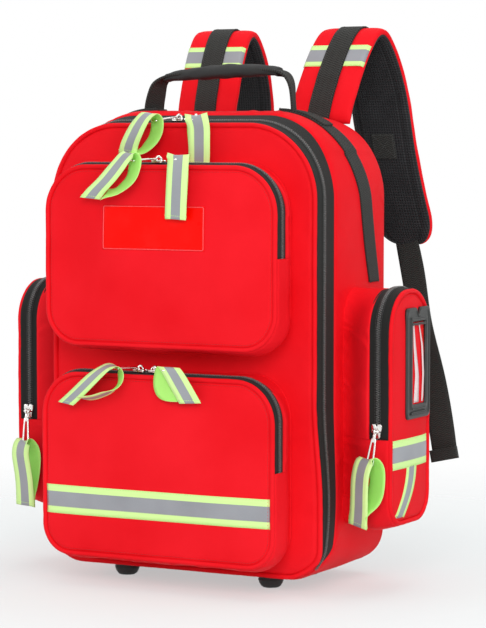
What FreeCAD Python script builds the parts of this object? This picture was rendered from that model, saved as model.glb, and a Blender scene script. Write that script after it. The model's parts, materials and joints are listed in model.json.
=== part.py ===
"""First responder backpack: a clamshell main compartment, two front pockets, two side pockets,
a carry handle and padded shoulder straps. Millimetres, +Z up, the front faces -Y."""
import FreeCAD, Part
import math
import os
from collections import namedtuple

V = FreeCAD.Vector

# Main compartment
body_width = 321.0
body_bottom = 16.0
body_top = 496.0
body_depth = 165.0
body_top_radius = 80.0
body_bottom_radius = 35.0
wall = 4.0
panel_thick = 4.0
running_gap = 0.3

# Piped edges and zips
piping_radius = 2.5
zip_line_y = 18.0
zip_straight_bottom = 100.0
zip_end_z = 31.0
zip_tape_width = 24.0

# Front pockets
upper_width = 278.5
upper_bottom = 258.5
upper_top = 452.0
upper_depth = 49.0
upper_top_radius = 50.0
upper_bottom_radius = 40.0
upper_fold_z = 356.0
lower_width = 280.0
lower_bottom = 33.0
lower_top = 231.0
lower_depth = 56.0
lower_top_radius = 45.0
lower_bottom_radius = 33.0
lower_fold_z = 135.0
pocket_wall = 2.5
pocket_tape_width = 8.0

# Side pockets
side_thick = 67.5
side_front = 35.0
side_back = 135.0
side_bottom = 72.0
side_top = 321.0
side_top_radius = 45.0
side_bottom_radius = 30.0
side_fold_z = 165.0
side_tape_width = 11.0

# Labels, card holder and reflective tape
patch_left = -65.0
patch_right = 57.0
patch_bottom = 362.5
patch_top = 409.0
patch_thick = 0.8
tape_height = 31.0
tape_thick = 0.6
front_tape_bottom = 77.5
side_tape_bottom = 132.5
side_strip_width = 24.0
side_strip_slant = 30.0
card_front = 69.0
card_back = 129.0
card_bottom = 183.0
card_top = 301.0
card_thick = 4.0
card_border = 15.0
card_window_thick = 1.0

# Back panel, pads and boards
back_thick = 6.0
pad_thick = 13.0
pad_width = 118.0
pad_split = 24.0
pad_top = 470.0
pad_bottom = 190.0
lumbar_top = 168.0
lumbar_bottom = 60.0
lumbar_width = 230.0
pad_radius = 22.0
board_thick = 2.5
board_margin = 8.0
yoke_height = 16.0
yoke_depth = 15.0

# Rubber feet
foot_radius = 14.0
foot_face_radius = 9.0
foot_x = 89.0
foot_inset_y = 36.0
stem_radius = 3.0
stem_flange_radius = 7.0
stem_clearance = 0.1

# Webbing over the shoulders of the body
web_thick = 1.6
web_width = 27.0
web_low_y = 131.5
web_shoulder_y = 108.0

# Carry handle
handle_x = 90.0
handle_y = 82.0
handle_web_width = 22.0
handle_web_thick = 3.0
handle_rise = 40.0
handle_corner = 14.0
handle_fold = 3.0
grip_length = 140.0
grip_width = 28.0
grip_height = 15.0

# Shoulder straps
strap_x = 74.0
strap_width = 70.0
strap_foam = 11.0
strap_lining = 2.0
strap_web_width = 27.0
strap_web_thick = 2.0
strap_lift = 1.0
strap_lean_y = 22.0
strap_lean_z = 57.0
strap_apex_y = 57.0
strap_apex_z = 98.0
strap_rear_y = 87.0
strap_rear_z = 58.0
strap_waist_y = 90.0
strap_waist_z = -25.0
strap_end_y = 96.0
strap_end_z = -140.0
right_splay = 68.0
left_splay = 18.0
band_step = 3
splay_power = 1.4
tail_width = 29.0
tail_thick = 2.0
tail_drop = 236.0
tail_swing_y = -15.0
right_tail_x = 51.0
left_tail_x = -19.0
tail_hem = 18.0
strap_steps = 18

# Lower strap anchors
anchor_width = 25.0
anchor_top = 110.0
anchor_bottom = 84.0
anchor_thick = 2.0
lock_width = 40.0
lock_height = 30.0
lock_thick = 5.0
lock_bar = 5.0
lock_slot_width = 31.0
lock_slot_height = 6.0
lock_overlap = 5.0
lock_to_lumbar = 3.0

# Zip sliders and their pulls
slider_length = 15.0
slider_width = 12.0
slider_base = 3.0
bridge_radius = 1.2
bridge_length = 9.0
bridge_post = 1.6
eye_radius = 3.0
eye_width = 4.0
tab_width = 7.0
tab_thick = 1.6
loop_width = 25.0
loop_thick = 5.0
tab_length = 25.0
main_loop_y = -10.0
upper_loop_y = -56.0
lower_loop_y = -63.0
side_loop_y = 24.0
side_slider_margin = 2.0
side_tag_lean = 15.0

# Where each slider rests, and how its tab and tag lie against the top of its zip
Tag = namedtuple("Tag", "slider_x tab_x tab_rise end_x drop")
main_tags = (Tag(-13.0, -26.0, 4.0, -60.0, 34.0), Tag(8.0, 22.0, 4.0, 26.0, 39.0))
upper_tags = (Tag(-6.0, -26.0, 4.0, -81.0, 37.0), Tag(13.0, 27.0, 5.0, 25.0, 58.0))
lower_tags = (Tag(-25.0, -46.0, 7.0, -107.0, 36.0), Tag(-7.0, 14.0, 7.0, 52.0, 28.0))

# Places worked out from the values above
half_body = body_width / 2
back_face_y = body_depth + back_thick
side_outer_x = half_body + side_thick
strap_half = strap_foam / 2 + strap_lining
strap_pivot_y = back_face_y + strap_foam / 2 + tape_thick + strap_web_thick + 2 * running_gap
strap_pivot_z = body_top + running_gap + strap_web_thick + strap_lift
bridge_height = slider_base + eye_radius + running_gap
anchor_x = lumbar_width / 2 + lock_to_lumbar + lock_width / 2
handle_pivot_z = body_top + handle_fold + running_gap + handle_web_width / 2
front_reach = lower_loop_y - loop_thick
back_reach = strap_pivot_y + strap_end_y + strap_half
origin = V(0, (front_reach + back_reach) / 2, 0)
far = 1000.0

Outline = namedtuple("Outline", "left right bottom top r_bottom r_top")
main_outline = Outline(-half_body, half_body, body_bottom, body_top, body_bottom_radius, body_top_radius)
upper_outline = Outline(-upper_width / 2, upper_width / 2, upper_bottom, upper_top,
                        upper_bottom_radius, upper_top_radius)
lower_outline = Outline(-lower_width / 2, lower_width / 2, lower_bottom, lower_top,
                        lower_bottom_radius, lower_top_radius)
side_outline = Outline(side_front, side_back, side_bottom, side_top, side_bottom_radius, side_top_radius)

nodes = {}


def inset(o, d):
    """The outline moved inwards by d."""
    return Outline(o.left + d, o.right - d, o.bottom + d, o.top - d,
                   max(o.r_bottom - d, 0.5), max(o.r_top - d, 0.5))


def outline_wire(o):
    """A rounded rectangle in the XZ plane, from the lower left corner, anticlockwise."""
    corners = [(o.left, o.bottom, 1, 1, o.r_bottom), (o.right, o.bottom, -1, 1, o.r_bottom),
               (o.right, o.top, -1, -1, o.r_top), (o.left, o.top, 1, -1, o.r_top)]
    arcs = []
    for i, (x, z, sx, sz, r) in enumerate(corners):
        centre = V(x + sx * r, 0, z + sz * r)
        across = V(x, 0, z + sz * r)
        along = V(x + sx * r, 0, z)
        middle = centre - V(sx, 0, sz) * (r * math.sqrt(0.5))
        first, last = (across, along) if i % 2 == 0 else (along, across)
        arcs.append(Part.Arc(first, middle, last))
    edges = []
    for arc, following in zip(arcs, arcs[1:] + arcs[:1]):
        edges.append(arc.toShape())
        edges.append(Part.LineSegment(arc.EndPoint, following.StartPoint).toShape())
    return Part.Wire(edges)


def slab(o, y0, y1):
    """The outline as a solid plate from y0 to y1."""
    plate = Part.Face(outline_wire(o)).extrude(V(0, y1 - y0, 0))
    return plate.translated(V(0, y0, 0))


def ring(o, thick, y0, y1):
    """The wall just inside the outline, from y0 to y1."""
    return slab(o, y0, y1).cut(slab(inset(o, thick), y0 - 1, y1 + 1))


def piping(o, y):
    """A round cord just inside the outline, centred on y: rods joined by torus corners."""
    pieces = []
    for edge in outline_wire(inset(o, piping_radius)).Edges:
        first = edge.Vertexes[0].Point
        along = edge.Vertexes[1].Point - first
        if isinstance(edge.Curve, Part.Circle):
            circle = edge.Curve
            centre = circle.Center
            corner = Part.makeTorus(circle.Radius, piping_radius, centre, V(0, 1, 0))
            reach = 2 * (circle.Radius + piping_radius)
            side = edge.valueAt((edge.FirstParameter + edge.LastParameter) / 2) - centre
            quarter = Part.makeBox(reach, 2 * reach, reach)
            quarter.translate(centre + V(0 if side.x > 0 else -reach, -reach, 0 if side.z > 0 else -reach))
            pieces.append(corner.common(quarter))
        else:
            pieces.append(Part.makeCylinder(piping_radius, along.Length, first, along))
    return pieces[0].fuse(pieces[1:]).removeSplitter().translated(V(0, y, 0))


def block(x0, x1, y0, y1, z0, z1):
    return Part.makeBox(x1 - x0, y1 - y0, z1 - z0, V(x0, y0, z0))


def above(z):
    return block(-far, far, -far, far, z, far)


def below(z):
    return block(-far, far, -far, far, -far, z)


def group(shapes):
    """Separate solids that make one node."""
    return Part.makeCompound([solid for shape in shapes for solid in shape.Solids])


def keep(name, shape):
    solids = shape.Solids
    nodes[name] = solids[0] if len(solids) == 1 else Part.makeCompound(solids)


def in_front_of_zip(shift):
    """All that lies ahead of the main zip line, which curves forward to the bottom corner."""
    rise = zip_straight_bottom - zip_end_z
    radius = (zip_line_y ** 2 + rise ** 2) / (2 * zip_line_y)
    half_angle = math.asin(rise / radius) / 2
    centre = V(0, zip_line_y - radius + shift, zip_straight_bottom)
    middle = centre + V(0, radius * math.cos(half_angle), -radius * math.sin(half_angle))
    low = V(0, shift, zip_end_z)
    high = V(0, zip_line_y + shift, zip_straight_bottom)
    points = [high, V(0, high.y, far), V(0, -far, far), V(0, -far, zip_end_z), low]
    edges = [Part.LineSegment(a, b).toShape() for a, b in zip(points, points[1:])]
    edges.append(Part.Arc(low, middle, high).toShape())
    face = Part.Face(Part.Wire(edges))
    return face.extrude(V(2 * far, 0, 0)).translated(V(-far, 0, 0))


def foot_places():
    return [(sx * foot_x, y) for sx in (-1, 1) for y in (foot_inset_y, body_depth - foot_inset_y)]


def make_main_body():
    shell_ring = ring(main_outline, wall, piping_radius + running_gap, body_depth)
    taped = in_front_of_zip(zip_tape_width)
    shell = shell_ring.cut(taped)
    for x, y in foot_places():
        shell = shell.cut(Part.makeCylinder(stem_radius + stem_clearance, 3 * wall,
                                            V(x, y, body_bottom - wall)))
    keep("main_shell", shell)
    rear_tape = ring(main_outline, wall, piping_radius, body_depth).common(taped)
    keep("main_zip_rear", rear_tape.cut(in_front_of_zip(running_gap)))
    back = slab(main_outline, body_depth, back_face_y)
    yoke_half = strap_x + strap_width / 2
    yoke_top = strap_pivot_z - strap_foam / 2 - running_gap
    yoke = block(-yoke_half, yoke_half, back_face_y, back_face_y + yoke_depth,
                 yoke_top - yoke_height, yoke_top)
    keep("back_panel", back.fuse(yoke).removeSplitter())


def make_boards():
    inner = inset(main_outline, wall + board_margin)
    back_board = slab(inner._replace(bottom=body_bottom + wall + board_thick),
                      body_depth - board_thick, body_depth)
    reach = half_body - body_bottom_radius
    base = block(-reach, reach, zip_line_y, body_depth - board_thick,
                 body_bottom + wall, body_bottom + wall + board_thick)
    for x, y in foot_places():
        base = base.cut(Part.makeCylinder(stem_radius + stem_clearance, 4 * wall, V(x, y, body_bottom)))
    keep("stiffening_boards", group([back_board, base]))


def make_back_pads():
    pads = []
    for side in (-1, 1):
        inner_x = side * pad_split / 2
        outer_x = side * (pad_split / 2 + pad_width)
        o = Outline(min(inner_x, outer_x), max(inner_x, outer_x), pad_bottom, pad_top, pad_radius, pad_radius)
        pads.append(slab(o, back_face_y, back_face_y + pad_thick))
    lumbar = Outline(-lumbar_width / 2, lumbar_width / 2, lumbar_bottom, lumbar_top, pad_radius, pad_radius)
    pads.append(slab(lumbar, back_face_y, back_face_y + pad_thick))
    keep("back_pads", group(pads))


def make_feet():
    feet = []
    stem_top = body_bottom + wall + board_thick
    for x, y in foot_places():
        dome = Part.makeCone(foot_face_radius, foot_radius, body_bottom / 2, V(x, y, 0))
        collar = Part.makeCylinder(foot_radius, body_bottom / 2, V(x, y, body_bottom / 2))
        stem = Part.makeCylinder(stem_radius, stem_top - body_bottom + board_thick, V(x, y, body_bottom))
        flange = Part.makeCylinder(stem_flange_radius, board_thick, V(x, y, stem_top))
        feet.append(dome.fuse([collar, stem, flange]).removeSplitter())
    keep("rubber_feet", group(feet))


def shoulder_band(z0, z1):
    """The slanted band, seen from the side, that the sewn webbing follows."""
    half = web_width / 2
    middle_z = body_top - body_top_radius
    lean = (web_low_y - web_shoulder_y) / (middle_z - side_top)
    low_y = web_low_y + (side_top - z0) * lean
    points = [V(0, low_y - half, z0), V(0, low_y + half, z0), V(0, web_shoulder_y + half, middle_z),
              V(0, handle_y + half, z1), V(0, handle_y - half, z1), V(0, web_shoulder_y - half, middle_z)]
    face = Part.Face(Part.makePolygon(points + points[:1]))
    return face.extrude(V(2 * far, 0, 0)).translated(V(-far, 0, 0))


def make_side_webbing():
    outer = slab(inset(main_outline, -web_thick), 0, body_depth)
    skin = outer.cut(slab(main_outline, -1, body_depth + 1))
    band = shoulder_band(side_top + web_thick, body_top + 4 * web_thick)
    strips = skin.common(band)
    inner_end = handle_x - handle_web_width / 2
    strips = strips.cut(block(-inner_end, inner_end, -far, far, -far, far))
    folds = []
    for side in (-1, 1):
        place = V(side * handle_x - handle_web_width / 2, handle_y - web_width / 2, body_top)
        fold = Part.makeBox(handle_web_width, web_width, handle_fold, place)
        folds.append(fold.cut(slab(main_outline, -far, far)))
    keep("side_webbing", group([strips.fuse(folds).removeSplitter()]))


def make_handle():
    across = V(0, handle_web_width, 0)
    top = handle_pivot_z + handle_rise
    low = Outline(-handle_x - handle_web_thick / 2, handle_x + handle_web_thick / 2,
                  handle_pivot_z - far, top, handle_corner, handle_corner)
    hoop = ring(low, handle_web_thick, handle_y - across.y / 2, handle_y + across.y / 2)
    hoop = hoop.common(above(handle_pivot_z))
    for side in (-1, 1):
        start = V(side * handle_x - handle_web_thick / 2, handle_y, handle_pivot_z)
        hoop = hoop.fuse(Part.makeCylinder(handle_web_width / 2, handle_web_thick, start, V(1, 0, 0)))
    hoop = hoop.removeSplitter()
    keep("handle_webbing", hoop)
    grip = block(-grip_length / 2, grip_length / 2, handle_y - grip_width / 2, handle_y + grip_width / 2,
                 top - handle_web_thick / 2 - grip_height / 2, top - handle_web_thick / 2 + grip_height / 2)
    edges = [e for e in grip.Edges if abs(e.Vertexes[0].Point.x - e.Vertexes[1].Point.x) > 1]
    grip = grip.makeFillet(grip_height * 0.4, edges)
    keep("handle_grip", grip.cut(hoop))


def chain_y(depth):
    """Where the zip chain of a front pocket runs."""
    return -depth + piping_radius + pocket_tape_width


def pocket_walls(o, depth):
    """Gusset and face of a front pocket, with the gusset standing on the front panel."""
    gusset = ring(o, pocket_wall, -depth + piping_radius, -panel_thick / 2)
    face = slab(inset(o, 2 * piping_radius), -depth - pocket_wall / 2, -depth + pocket_wall / 2)
    return gusset, face


def make_front_pocket(name, o, depth, fold_z):
    """A pocket body on the front panel and the zipped lid above its fold line."""
    gusset, face = pocket_walls(o, depth)
    cord = piping(o, -depth)
    lid_side = above(fold_z + running_gap)
    fixed_side = below(fold_z - running_gap)
    split_y = chain_y(depth)
    rear_y = split_y + pocket_tape_width
    lid_zone = block(-far, far, -far, split_y, fold_z - running_gap, far)
    rear_zone = block(-far, far, split_y + running_gap, rear_y, fold_z - running_gap, far)
    body = gusset.cut(block(-far, far, -far, rear_y, fold_z - running_gap, far))
    keep(name + "_pocket_body", group([body, face.common(fixed_side)]))
    keep(name + "_lid_zip", gusset.common(lid_zone).common(lid_side))
    keep(name + "_lid_panel", group([face.common(lid_side), cord.common(lid_side)]))
    return gusset.common(rear_zone), cord.common(fixed_side)


def make_front_flap():
    plate = slab(inset(main_outline, 2 * piping_radius), -panel_thick / 2, panel_thick / 2)
    keep("front_panel", plate)
    tape = ring(main_outline, wall, piping_radius, body_depth).common(in_front_of_zip(0))
    keep("main_zip_front", tape)
    upper_zip, upper_cord = make_front_pocket("upper", upper_outline, upper_depth, upper_fold_z)
    lower_zip, lower_cord = make_front_pocket("lower", lower_outline, lower_depth, lower_fold_z)
    keep("pocket_zip_rear", group([upper_zip, lower_zip]))
    keep("front_piping", group([piping(main_outline, 0), upper_cord, lower_cord]))
    patch_face = -upper_depth - pocket_wall / 2
    keep("clear_patch", block(patch_left, patch_right, patch_face - patch_thick, patch_face,
                              patch_bottom, patch_top))
    tape_face = -lower_depth - pocket_wall / 2
    reach = lower_width / 2 - 2 * piping_radius
    keep("front_tape", block(-reach, reach, tape_face - tape_thick, tape_face,
                             front_tape_bottom, front_tape_bottom + tape_height))


def turned(shape):
    """A shape drawn facing -Y, turned to face +X."""
    return shape.rotated(V(0, 0, 0), V(0, 0, 1), 90)


def both_sides(shape):
    """The right-hand shape and its mirror image."""
    return {"right": shape, "left": shape.mirror(V(0, 0, 0), V(1, 0, 0))}


def make_side_pockets():
    gusset = turned(ring(side_outline, pocket_wall, -side_outer_x + piping_radius, -half_body))
    face_outline = inset(side_outline, 2 * piping_radius)
    face = turned(slab(face_outline, -side_outer_x - pocket_wall / 2, -side_outer_x + pocket_wall / 2))
    cord = turned(piping(side_outline, -side_outer_x))
    split_x = side_outer_x - piping_radius - side_tape_width
    rear_x = split_x - side_tape_width
    lid_side = above(side_fold_z + running_gap)
    fixed_side = below(side_fold_z - running_gap)
    lid_zone = block(split_x, far, -far, far, side_fold_z, far)
    rear_zone = block(rear_x, split_x - running_gap, -far, far, side_fold_z - running_gap, far)
    body = gusset.cut(block(rear_x, far, -far, far, side_fold_z - running_gap, far))
    bodies = both_sides(group([body, face.common(fixed_side)]))
    lid_zips = both_sides(gusset.common(lid_zone).common(lid_side))
    lid_panels = both_sides(group([face.common(lid_side), cord.common(lid_side)]))
    for side in ("left", "right"):
        keep(side + "_pocket_body", bodies[side])
        keep(side + "_lid_zip", lid_zips[side])
        keep(side + "_lid_panel", lid_panels[side])
    keep("side_zip_rear", group(both_sides(gusset.common(rear_zone)).values()))
    keep("side_piping", group(both_sides(cord.common(fixed_side)).values()))
    make_side_tapes(face_outline)
    make_card_holder(face_outline)


def make_side_tapes(face_outline):
    face_x = side_outer_x + pocket_wall / 2
    band = block(face_x, face_x + tape_thick, face_outline.left, face_outline.right,
                 side_tape_bottom, side_tape_bottom + tape_height)
    top_y = (side_front + side_back + side_strip_width) / 2
    low_y = top_y - side_strip_slant
    low_z = side_bottom + 4 * piping_radius
    corners = [V(face_x, top_y - side_strip_width, side_tape_bottom), V(face_x, top_y, side_tape_bottom),
               V(face_x, low_y, low_z), V(face_x, low_y - side_strip_width, low_z)]
    strip = Part.Face(Part.makePolygon(corners + corners[:1])).extrude(V(tape_thick, 0, 0))
    strip = strip.common(turned(slab(face_outline, -far, far)))
    keep("side_tape", group(both_sides(band.fuse(strip).removeSplitter()).values()))


def make_card_holder(face_outline):
    face_x = side_outer_x + pocket_wall / 2
    frame = block(face_x, face_x + card_thick, card_front, card_back, card_bottom, card_top)
    frame = frame.common(turned(slab(face_outline, -far, far)))
    inner = (card_front + card_border, card_back - card_border, card_bottom + card_border,
             card_top - card_border)
    frame = frame.cut(block(face_x - 1, face_x + card_thick + 1, *inner))
    keep("card_frame", frame)
    keep("card_window", block(face_x, face_x + card_window_thick, *inner))


def strap_sections(splay, low, high, half_width):
    """Cross-sections of one strap layer, between two offsets from the middle of the foam."""
    route = Part.BSplineCurve()
    route.interpolate([V(0, 0, 0), V(0, strap_lean_y, strap_lean_z), V(0, strap_apex_y, strap_apex_z),
                       V(0, strap_rear_y, strap_rear_z), V(0, strap_waist_y, strap_waist_z),
                       V(0, strap_end_y, strap_end_z)])
    length = route.length()
    sections = []
    for step in range(strap_steps + 1):
        share = step / strap_steps
        here = route.parameterAtDistance(length * share)
        along = route.tangent(here)[0]
        out = V(0, -along.z, along.y)
        middle = route.value(here) + V(splay * share ** splay_power, strap_pivot_y, strap_pivot_z)
        side = V(half_width, 0, 0)
        sections.append([middle + out * low - side, middle + out * high - side,
                         middle + out * high + side, middle + out * low + side])
    return sections


def strap_layer(root_x, splay, low, high, width, first=0, last=strap_steps):
    """One layer of a strap as a faceted solid between two of the steps."""
    sections = strap_sections(splay, low, high, width / 2)[first:last + 1]
    faces = [Part.Face(Part.makePolygon(end + end[:1])) for end in (sections[0], sections[-1])]
    for a, b in zip(sections, sections[1:]):
        for i in range(4):
            j = (i + 1) % 4
            faces.append(Part.Face(Part.makePolygon([a[i], a[j], b[j], a[i]])))
            faces.append(Part.Face(Part.makePolygon([a[i], b[j], b[i], a[i]])))
    skin = Part.makeShell(faces)
    skin.sewShape()
    layer = Part.makeSolid(skin)
    if layer.Volume < 0:
        layer.reverse()
    return layer.removeSplitter().translated(V(root_x, 0, 0))


def make_strap(side, root_x, splay, tail_x):
    foam = strap_foam / 2
    pad = strap_layer(root_x, splay, -foam, foam, strap_width)
    root_end = Part.makeCylinder(foam, strap_width, V(root_x - strap_width / 2, strap_pivot_y, strap_pivot_z),
                                 V(1, 0, 0))
    keep(side + "_strap_pad", pad.fuse(root_end))
    keep(side + "_strap_lining", strap_layer(root_x, splay, -foam - strap_lining, -foam, strap_width))
    keep(side + "_strap_band", strap_layer(root_x, splay, foam, foam + tape_thick, strap_width,
                                           band_step, band_step + 1))
    web_low = foam + tape_thick
    keep(side + "_strap_webbing", strap_layer(root_x, splay, web_low, web_low + strap_web_thick,
                                              strap_web_width))
    make_tail(side, V(root_x + splay, strap_pivot_y + strap_end_y, strap_pivot_z + strap_end_z), tail_x)


def make_tail(side, pad_end, tail_x):
    """The loose webbing below a strap pad, with a folded hem at its end."""
    half = tail_thick / 2
    roll = 1.5 * half
    pivot = pad_end - V(0, 0, roll + running_gap)
    fall = V(tail_x, tail_swing_y, -tail_drop)
    across = V(tail_width / 2, 0, 0)
    depth = V(0, half, 0)
    corners = [pivot - across - depth, pivot + across - depth, pivot + across + depth, pivot - across + depth]
    web = Part.Face(Part.makePolygon(corners + corners[:1])).extrude(fall)
    top = Part.makeCylinder(roll, tail_width, pivot - across, V(1, 0, 0))
    hem_start = pivot + fall * (1 - tail_hem / tail_drop)
    hem_corners = [hem_start - across - depth * 2, hem_start + across - depth * 2,
                   hem_start + across + depth * 2, hem_start - across + depth * 2]
    hem = Part.Face(Part.makePolygon(hem_corners + hem_corners[:1])).extrude(fall * (tail_hem / tail_drop))
    keep(side + "_strap_tail", web.fuse([top, hem]))


def make_anchors():
    tabs = []
    locks = []
    lock_top = anchor_bottom + lock_overlap
    lock_y = back_face_y + anchor_thick
    for side in (-1, 1):
        x = side * anchor_x
        tabs.append(block(x - anchor_width / 2, x + anchor_width / 2, back_face_y, lock_y,
                          anchor_bottom, anchor_top))
        lock = block(x - lock_width / 2, x + lock_width / 2, lock_y, lock_y + lock_thick,
                     lock_top - lock_height, lock_top)
        for row in range(2):
            slot_top = lock_top - lock_bar - row * (lock_slot_height + lock_bar)
            lock = lock.cut(block(x - lock_slot_width / 2, x + lock_slot_width / 2, lock_y - 1,
                                  lock_y + lock_thick + 1, slot_top - lock_slot_height, slot_top))
        locks.append(lock)
    keep("strap_anchors", group(tabs))
    keep("ladder_locks", group(locks))


def bar(start, end, width_along, width, thick):
    """A flat bar from start to end."""
    along = (end - start).normalize()
    flat = along.cross(width_along).normalize() * (thick / 2)
    wide = along.cross(flat).normalize() * (width / 2)
    corners = [start - wide - flat, start + wide - flat, start + wide + flat, start - wide + flat]
    return Part.Face(Part.makePolygon(corners + corners[:1])).extrude(end - start)


def make_slider(name, seat, up, pull_end, loop_end):
    """A slider on its zip and the pull that swings on its bridge, about an axis along X."""
    axis = V(1, 0, 0)
    along = axis if up.z else V(0, 0, 1)
    across = up.cross(along)
    low = seat + up * running_gap
    start = low - along * (slider_length / 2) - across * (slider_width / 2)
    corners = [start, start + along * slider_length, start + along * slider_length + across * slider_width,
               start + across * slider_width]
    base = Part.Face(Part.makePolygon(corners + corners[:1])).extrude(up * slider_base)
    base = base.makeChamfer(slider_base / 3, [e for e in base.Edges if abs(e.tangentAt(0).dot(up)) > 0.9])
    pivot = low + up * bridge_height
    pin = Part.makeCylinder(bridge_radius, bridge_length, pivot - axis * (bridge_length / 2), axis)
    posts = []
    for end in (-1, 1):
        foot = low + up * slider_base + axis * (end * (bridge_length - bridge_post) / 2)
        top = foot + up * (bridge_height - slider_base + bridge_radius)
        posts.append(bar(foot, top, axis, bridge_post, 2 * bridge_radius))
    keep(name + "_slider", base.fuse(posts + [pin]).removeSplitter())
    straight = V(0, pull_end.y - pivot.y, pull_end.z - pivot.z).normalize()
    knuckle = pivot + straight * 2 * eye_radius
    eye = Part.makeCylinder(eye_radius, eye_width, pivot - axis * (eye_width / 2), axis)
    neck = bar(pivot, knuckle + straight * tab_thick, axis, eye_width, tab_thick)
    tab = bar(knuckle, pull_end, axis, tab_width, tab_thick)
    bore = Part.makeCylinder(bridge_radius + running_gap, bridge_length, pivot - axis * (bridge_length / 2),
                             axis)
    metal = eye.fuse([neck, tab]).cut(bore).removeSplitter()
    lift = V(0, loop_thick / 2, 0)
    loop = bar(pull_end - lift, loop_end - lift, axis, loop_width, loop_thick).cut(metal)
    keep(name + "_pull", group([metal, loop]))


def make_zip_pulls(pocket, tags, top, zip_y, loop_y):
    """The left and right sliders of a zip that runs over the top of the body or a pocket."""
    for side, tag in zip(("left", "right"), tags):
        seat = V(tag.slider_x, zip_y, top)
        pull_end = V(tag.tab_x, loop_y, top + tag.tab_rise)
        loop_end = V(tag.end_x, loop_y, top - tag.drop)
        make_slider(pocket + "_" + side, seat, V(0, 0, 1), pull_end, loop_end)


def make_side_pulls():
    x = side_outer_x - piping_radius - side_tape_width
    seat_z = side_fold_z + slider_length / 2 + side_slider_margin
    for side, name in ((-1, "left_side"), (1, "right_side")):
        seat = V(side * x, side_front, seat_z)
        pull_end = V(side * x, side_loop_y, seat_z - tab_length)
        loop_end = V(side * (x - side_tag_lean), side_loop_y, side_bottom)
        make_slider(name, seat, V(0, -1, 0), pull_end, loop_end)


def main():
    make_main_body()
    make_boards()
    make_back_pads()
    make_feet()
    make_side_webbing()
    make_handle()
    make_front_flap()
    make_side_pockets()
    make_strap("right", strap_x, right_splay, right_tail_x)
    make_strap("left", -strap_x, left_splay, left_tail_x)
    make_anchors()
    make_zip_pulls("main", main_tags, body_top, zip_line_y, main_loop_y)
    make_zip_pulls("upper", upper_tags, upper_top, chain_y(upper_depth), upper_loop_y)
    make_zip_pulls("lower", lower_tags, lower_top, chain_y(lower_depth), lower_loop_y)
    make_side_pulls()
    os.makedirs("parts", exist_ok=True)
    for name, shape in nodes.items():
        nodes[name] = shape.translated(-origin)
        nodes[name].exportStep("parts/" + name + ".step")


main()
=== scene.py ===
"""First responder backpack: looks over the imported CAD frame. Lengths are in millimetres in the
frame of the front panel (x across, y from the panel to the back, z up) until at() turns them
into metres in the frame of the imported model."""

import json
import math
from collections import namedtuple

import bpy
import bmesh
import numpy as np
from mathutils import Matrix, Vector


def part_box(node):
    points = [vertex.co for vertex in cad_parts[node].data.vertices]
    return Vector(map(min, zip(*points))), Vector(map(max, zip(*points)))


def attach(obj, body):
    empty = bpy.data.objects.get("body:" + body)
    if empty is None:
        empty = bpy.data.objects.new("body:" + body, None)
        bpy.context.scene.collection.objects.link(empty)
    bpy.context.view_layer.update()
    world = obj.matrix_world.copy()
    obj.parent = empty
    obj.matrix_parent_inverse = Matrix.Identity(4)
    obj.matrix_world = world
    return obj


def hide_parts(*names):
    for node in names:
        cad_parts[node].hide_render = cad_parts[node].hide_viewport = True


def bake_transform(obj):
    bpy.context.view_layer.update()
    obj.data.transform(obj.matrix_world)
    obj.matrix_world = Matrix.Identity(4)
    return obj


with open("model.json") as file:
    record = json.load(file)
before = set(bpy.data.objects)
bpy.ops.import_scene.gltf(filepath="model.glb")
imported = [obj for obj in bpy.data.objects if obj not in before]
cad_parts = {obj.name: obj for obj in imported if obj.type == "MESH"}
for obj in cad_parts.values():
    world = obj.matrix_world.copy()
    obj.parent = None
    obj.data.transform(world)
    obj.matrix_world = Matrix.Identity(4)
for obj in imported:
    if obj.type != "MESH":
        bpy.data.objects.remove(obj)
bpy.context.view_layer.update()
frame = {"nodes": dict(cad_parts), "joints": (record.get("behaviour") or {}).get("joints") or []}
MM = 0.001
lo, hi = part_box("front_panel")
FRONT = (lo.y + hi.y) / 2


def at(points):
    """Points in millimetres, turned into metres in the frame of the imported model."""
    points = np.asarray(points, float) * MM
    points[..., 1] += FRONT
    return points


def mm_box(*nodes):
    """The lowest and highest corner of some CAD nodes, in millimetres."""
    corners = np.array([[list(c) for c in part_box(n)] for n in nodes])
    corners[..., 1] -= FRONT
    return corners[:, 0].min(0) / MM, corners[:, 1].max(0) / MM


def vec(*values):
    """Numbers or arrays side by side, as the last axis of one array."""
    return np.stack(np.broadcast_arrays(*values), -1)


def unit(vectors):
    return vectors / np.maximum(np.linalg.norm(vectors, axis=-1, keepdims=True), 1e-9)


def lengths(points):
    """The length along a line, or along each column of a grid, at each of its points."""
    steps = np.linalg.norm(np.diff(points, axis=0), axis=-1)
    return np.concatenate([np.zeros_like(steps[:1]), np.cumsum(steps, 0)])


def circle(count):
    """Angles once round, without the last."""
    return np.arange(count) * 2 * math.pi / count


def squarer(wave, power):
    """A sine or cosine flattened at its ends by a power under 1."""
    return np.sign(wave) * np.abs(wave) ** power


# ---------------------------------------------------------------- node materials
def add(tree, kind, inputs=None, **props):
    """A shader node with its inputs set or linked."""
    node = tree.nodes.new(kind)
    for key, value in props.items():
        setattr(node, key, value)
    for key, value in (inputs or {}).items():
        if isinstance(value, Value):
            tree.links.new(value.socket, node.inputs[key])
        else:
            node.inputs[key].default_value = value
    return node


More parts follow.
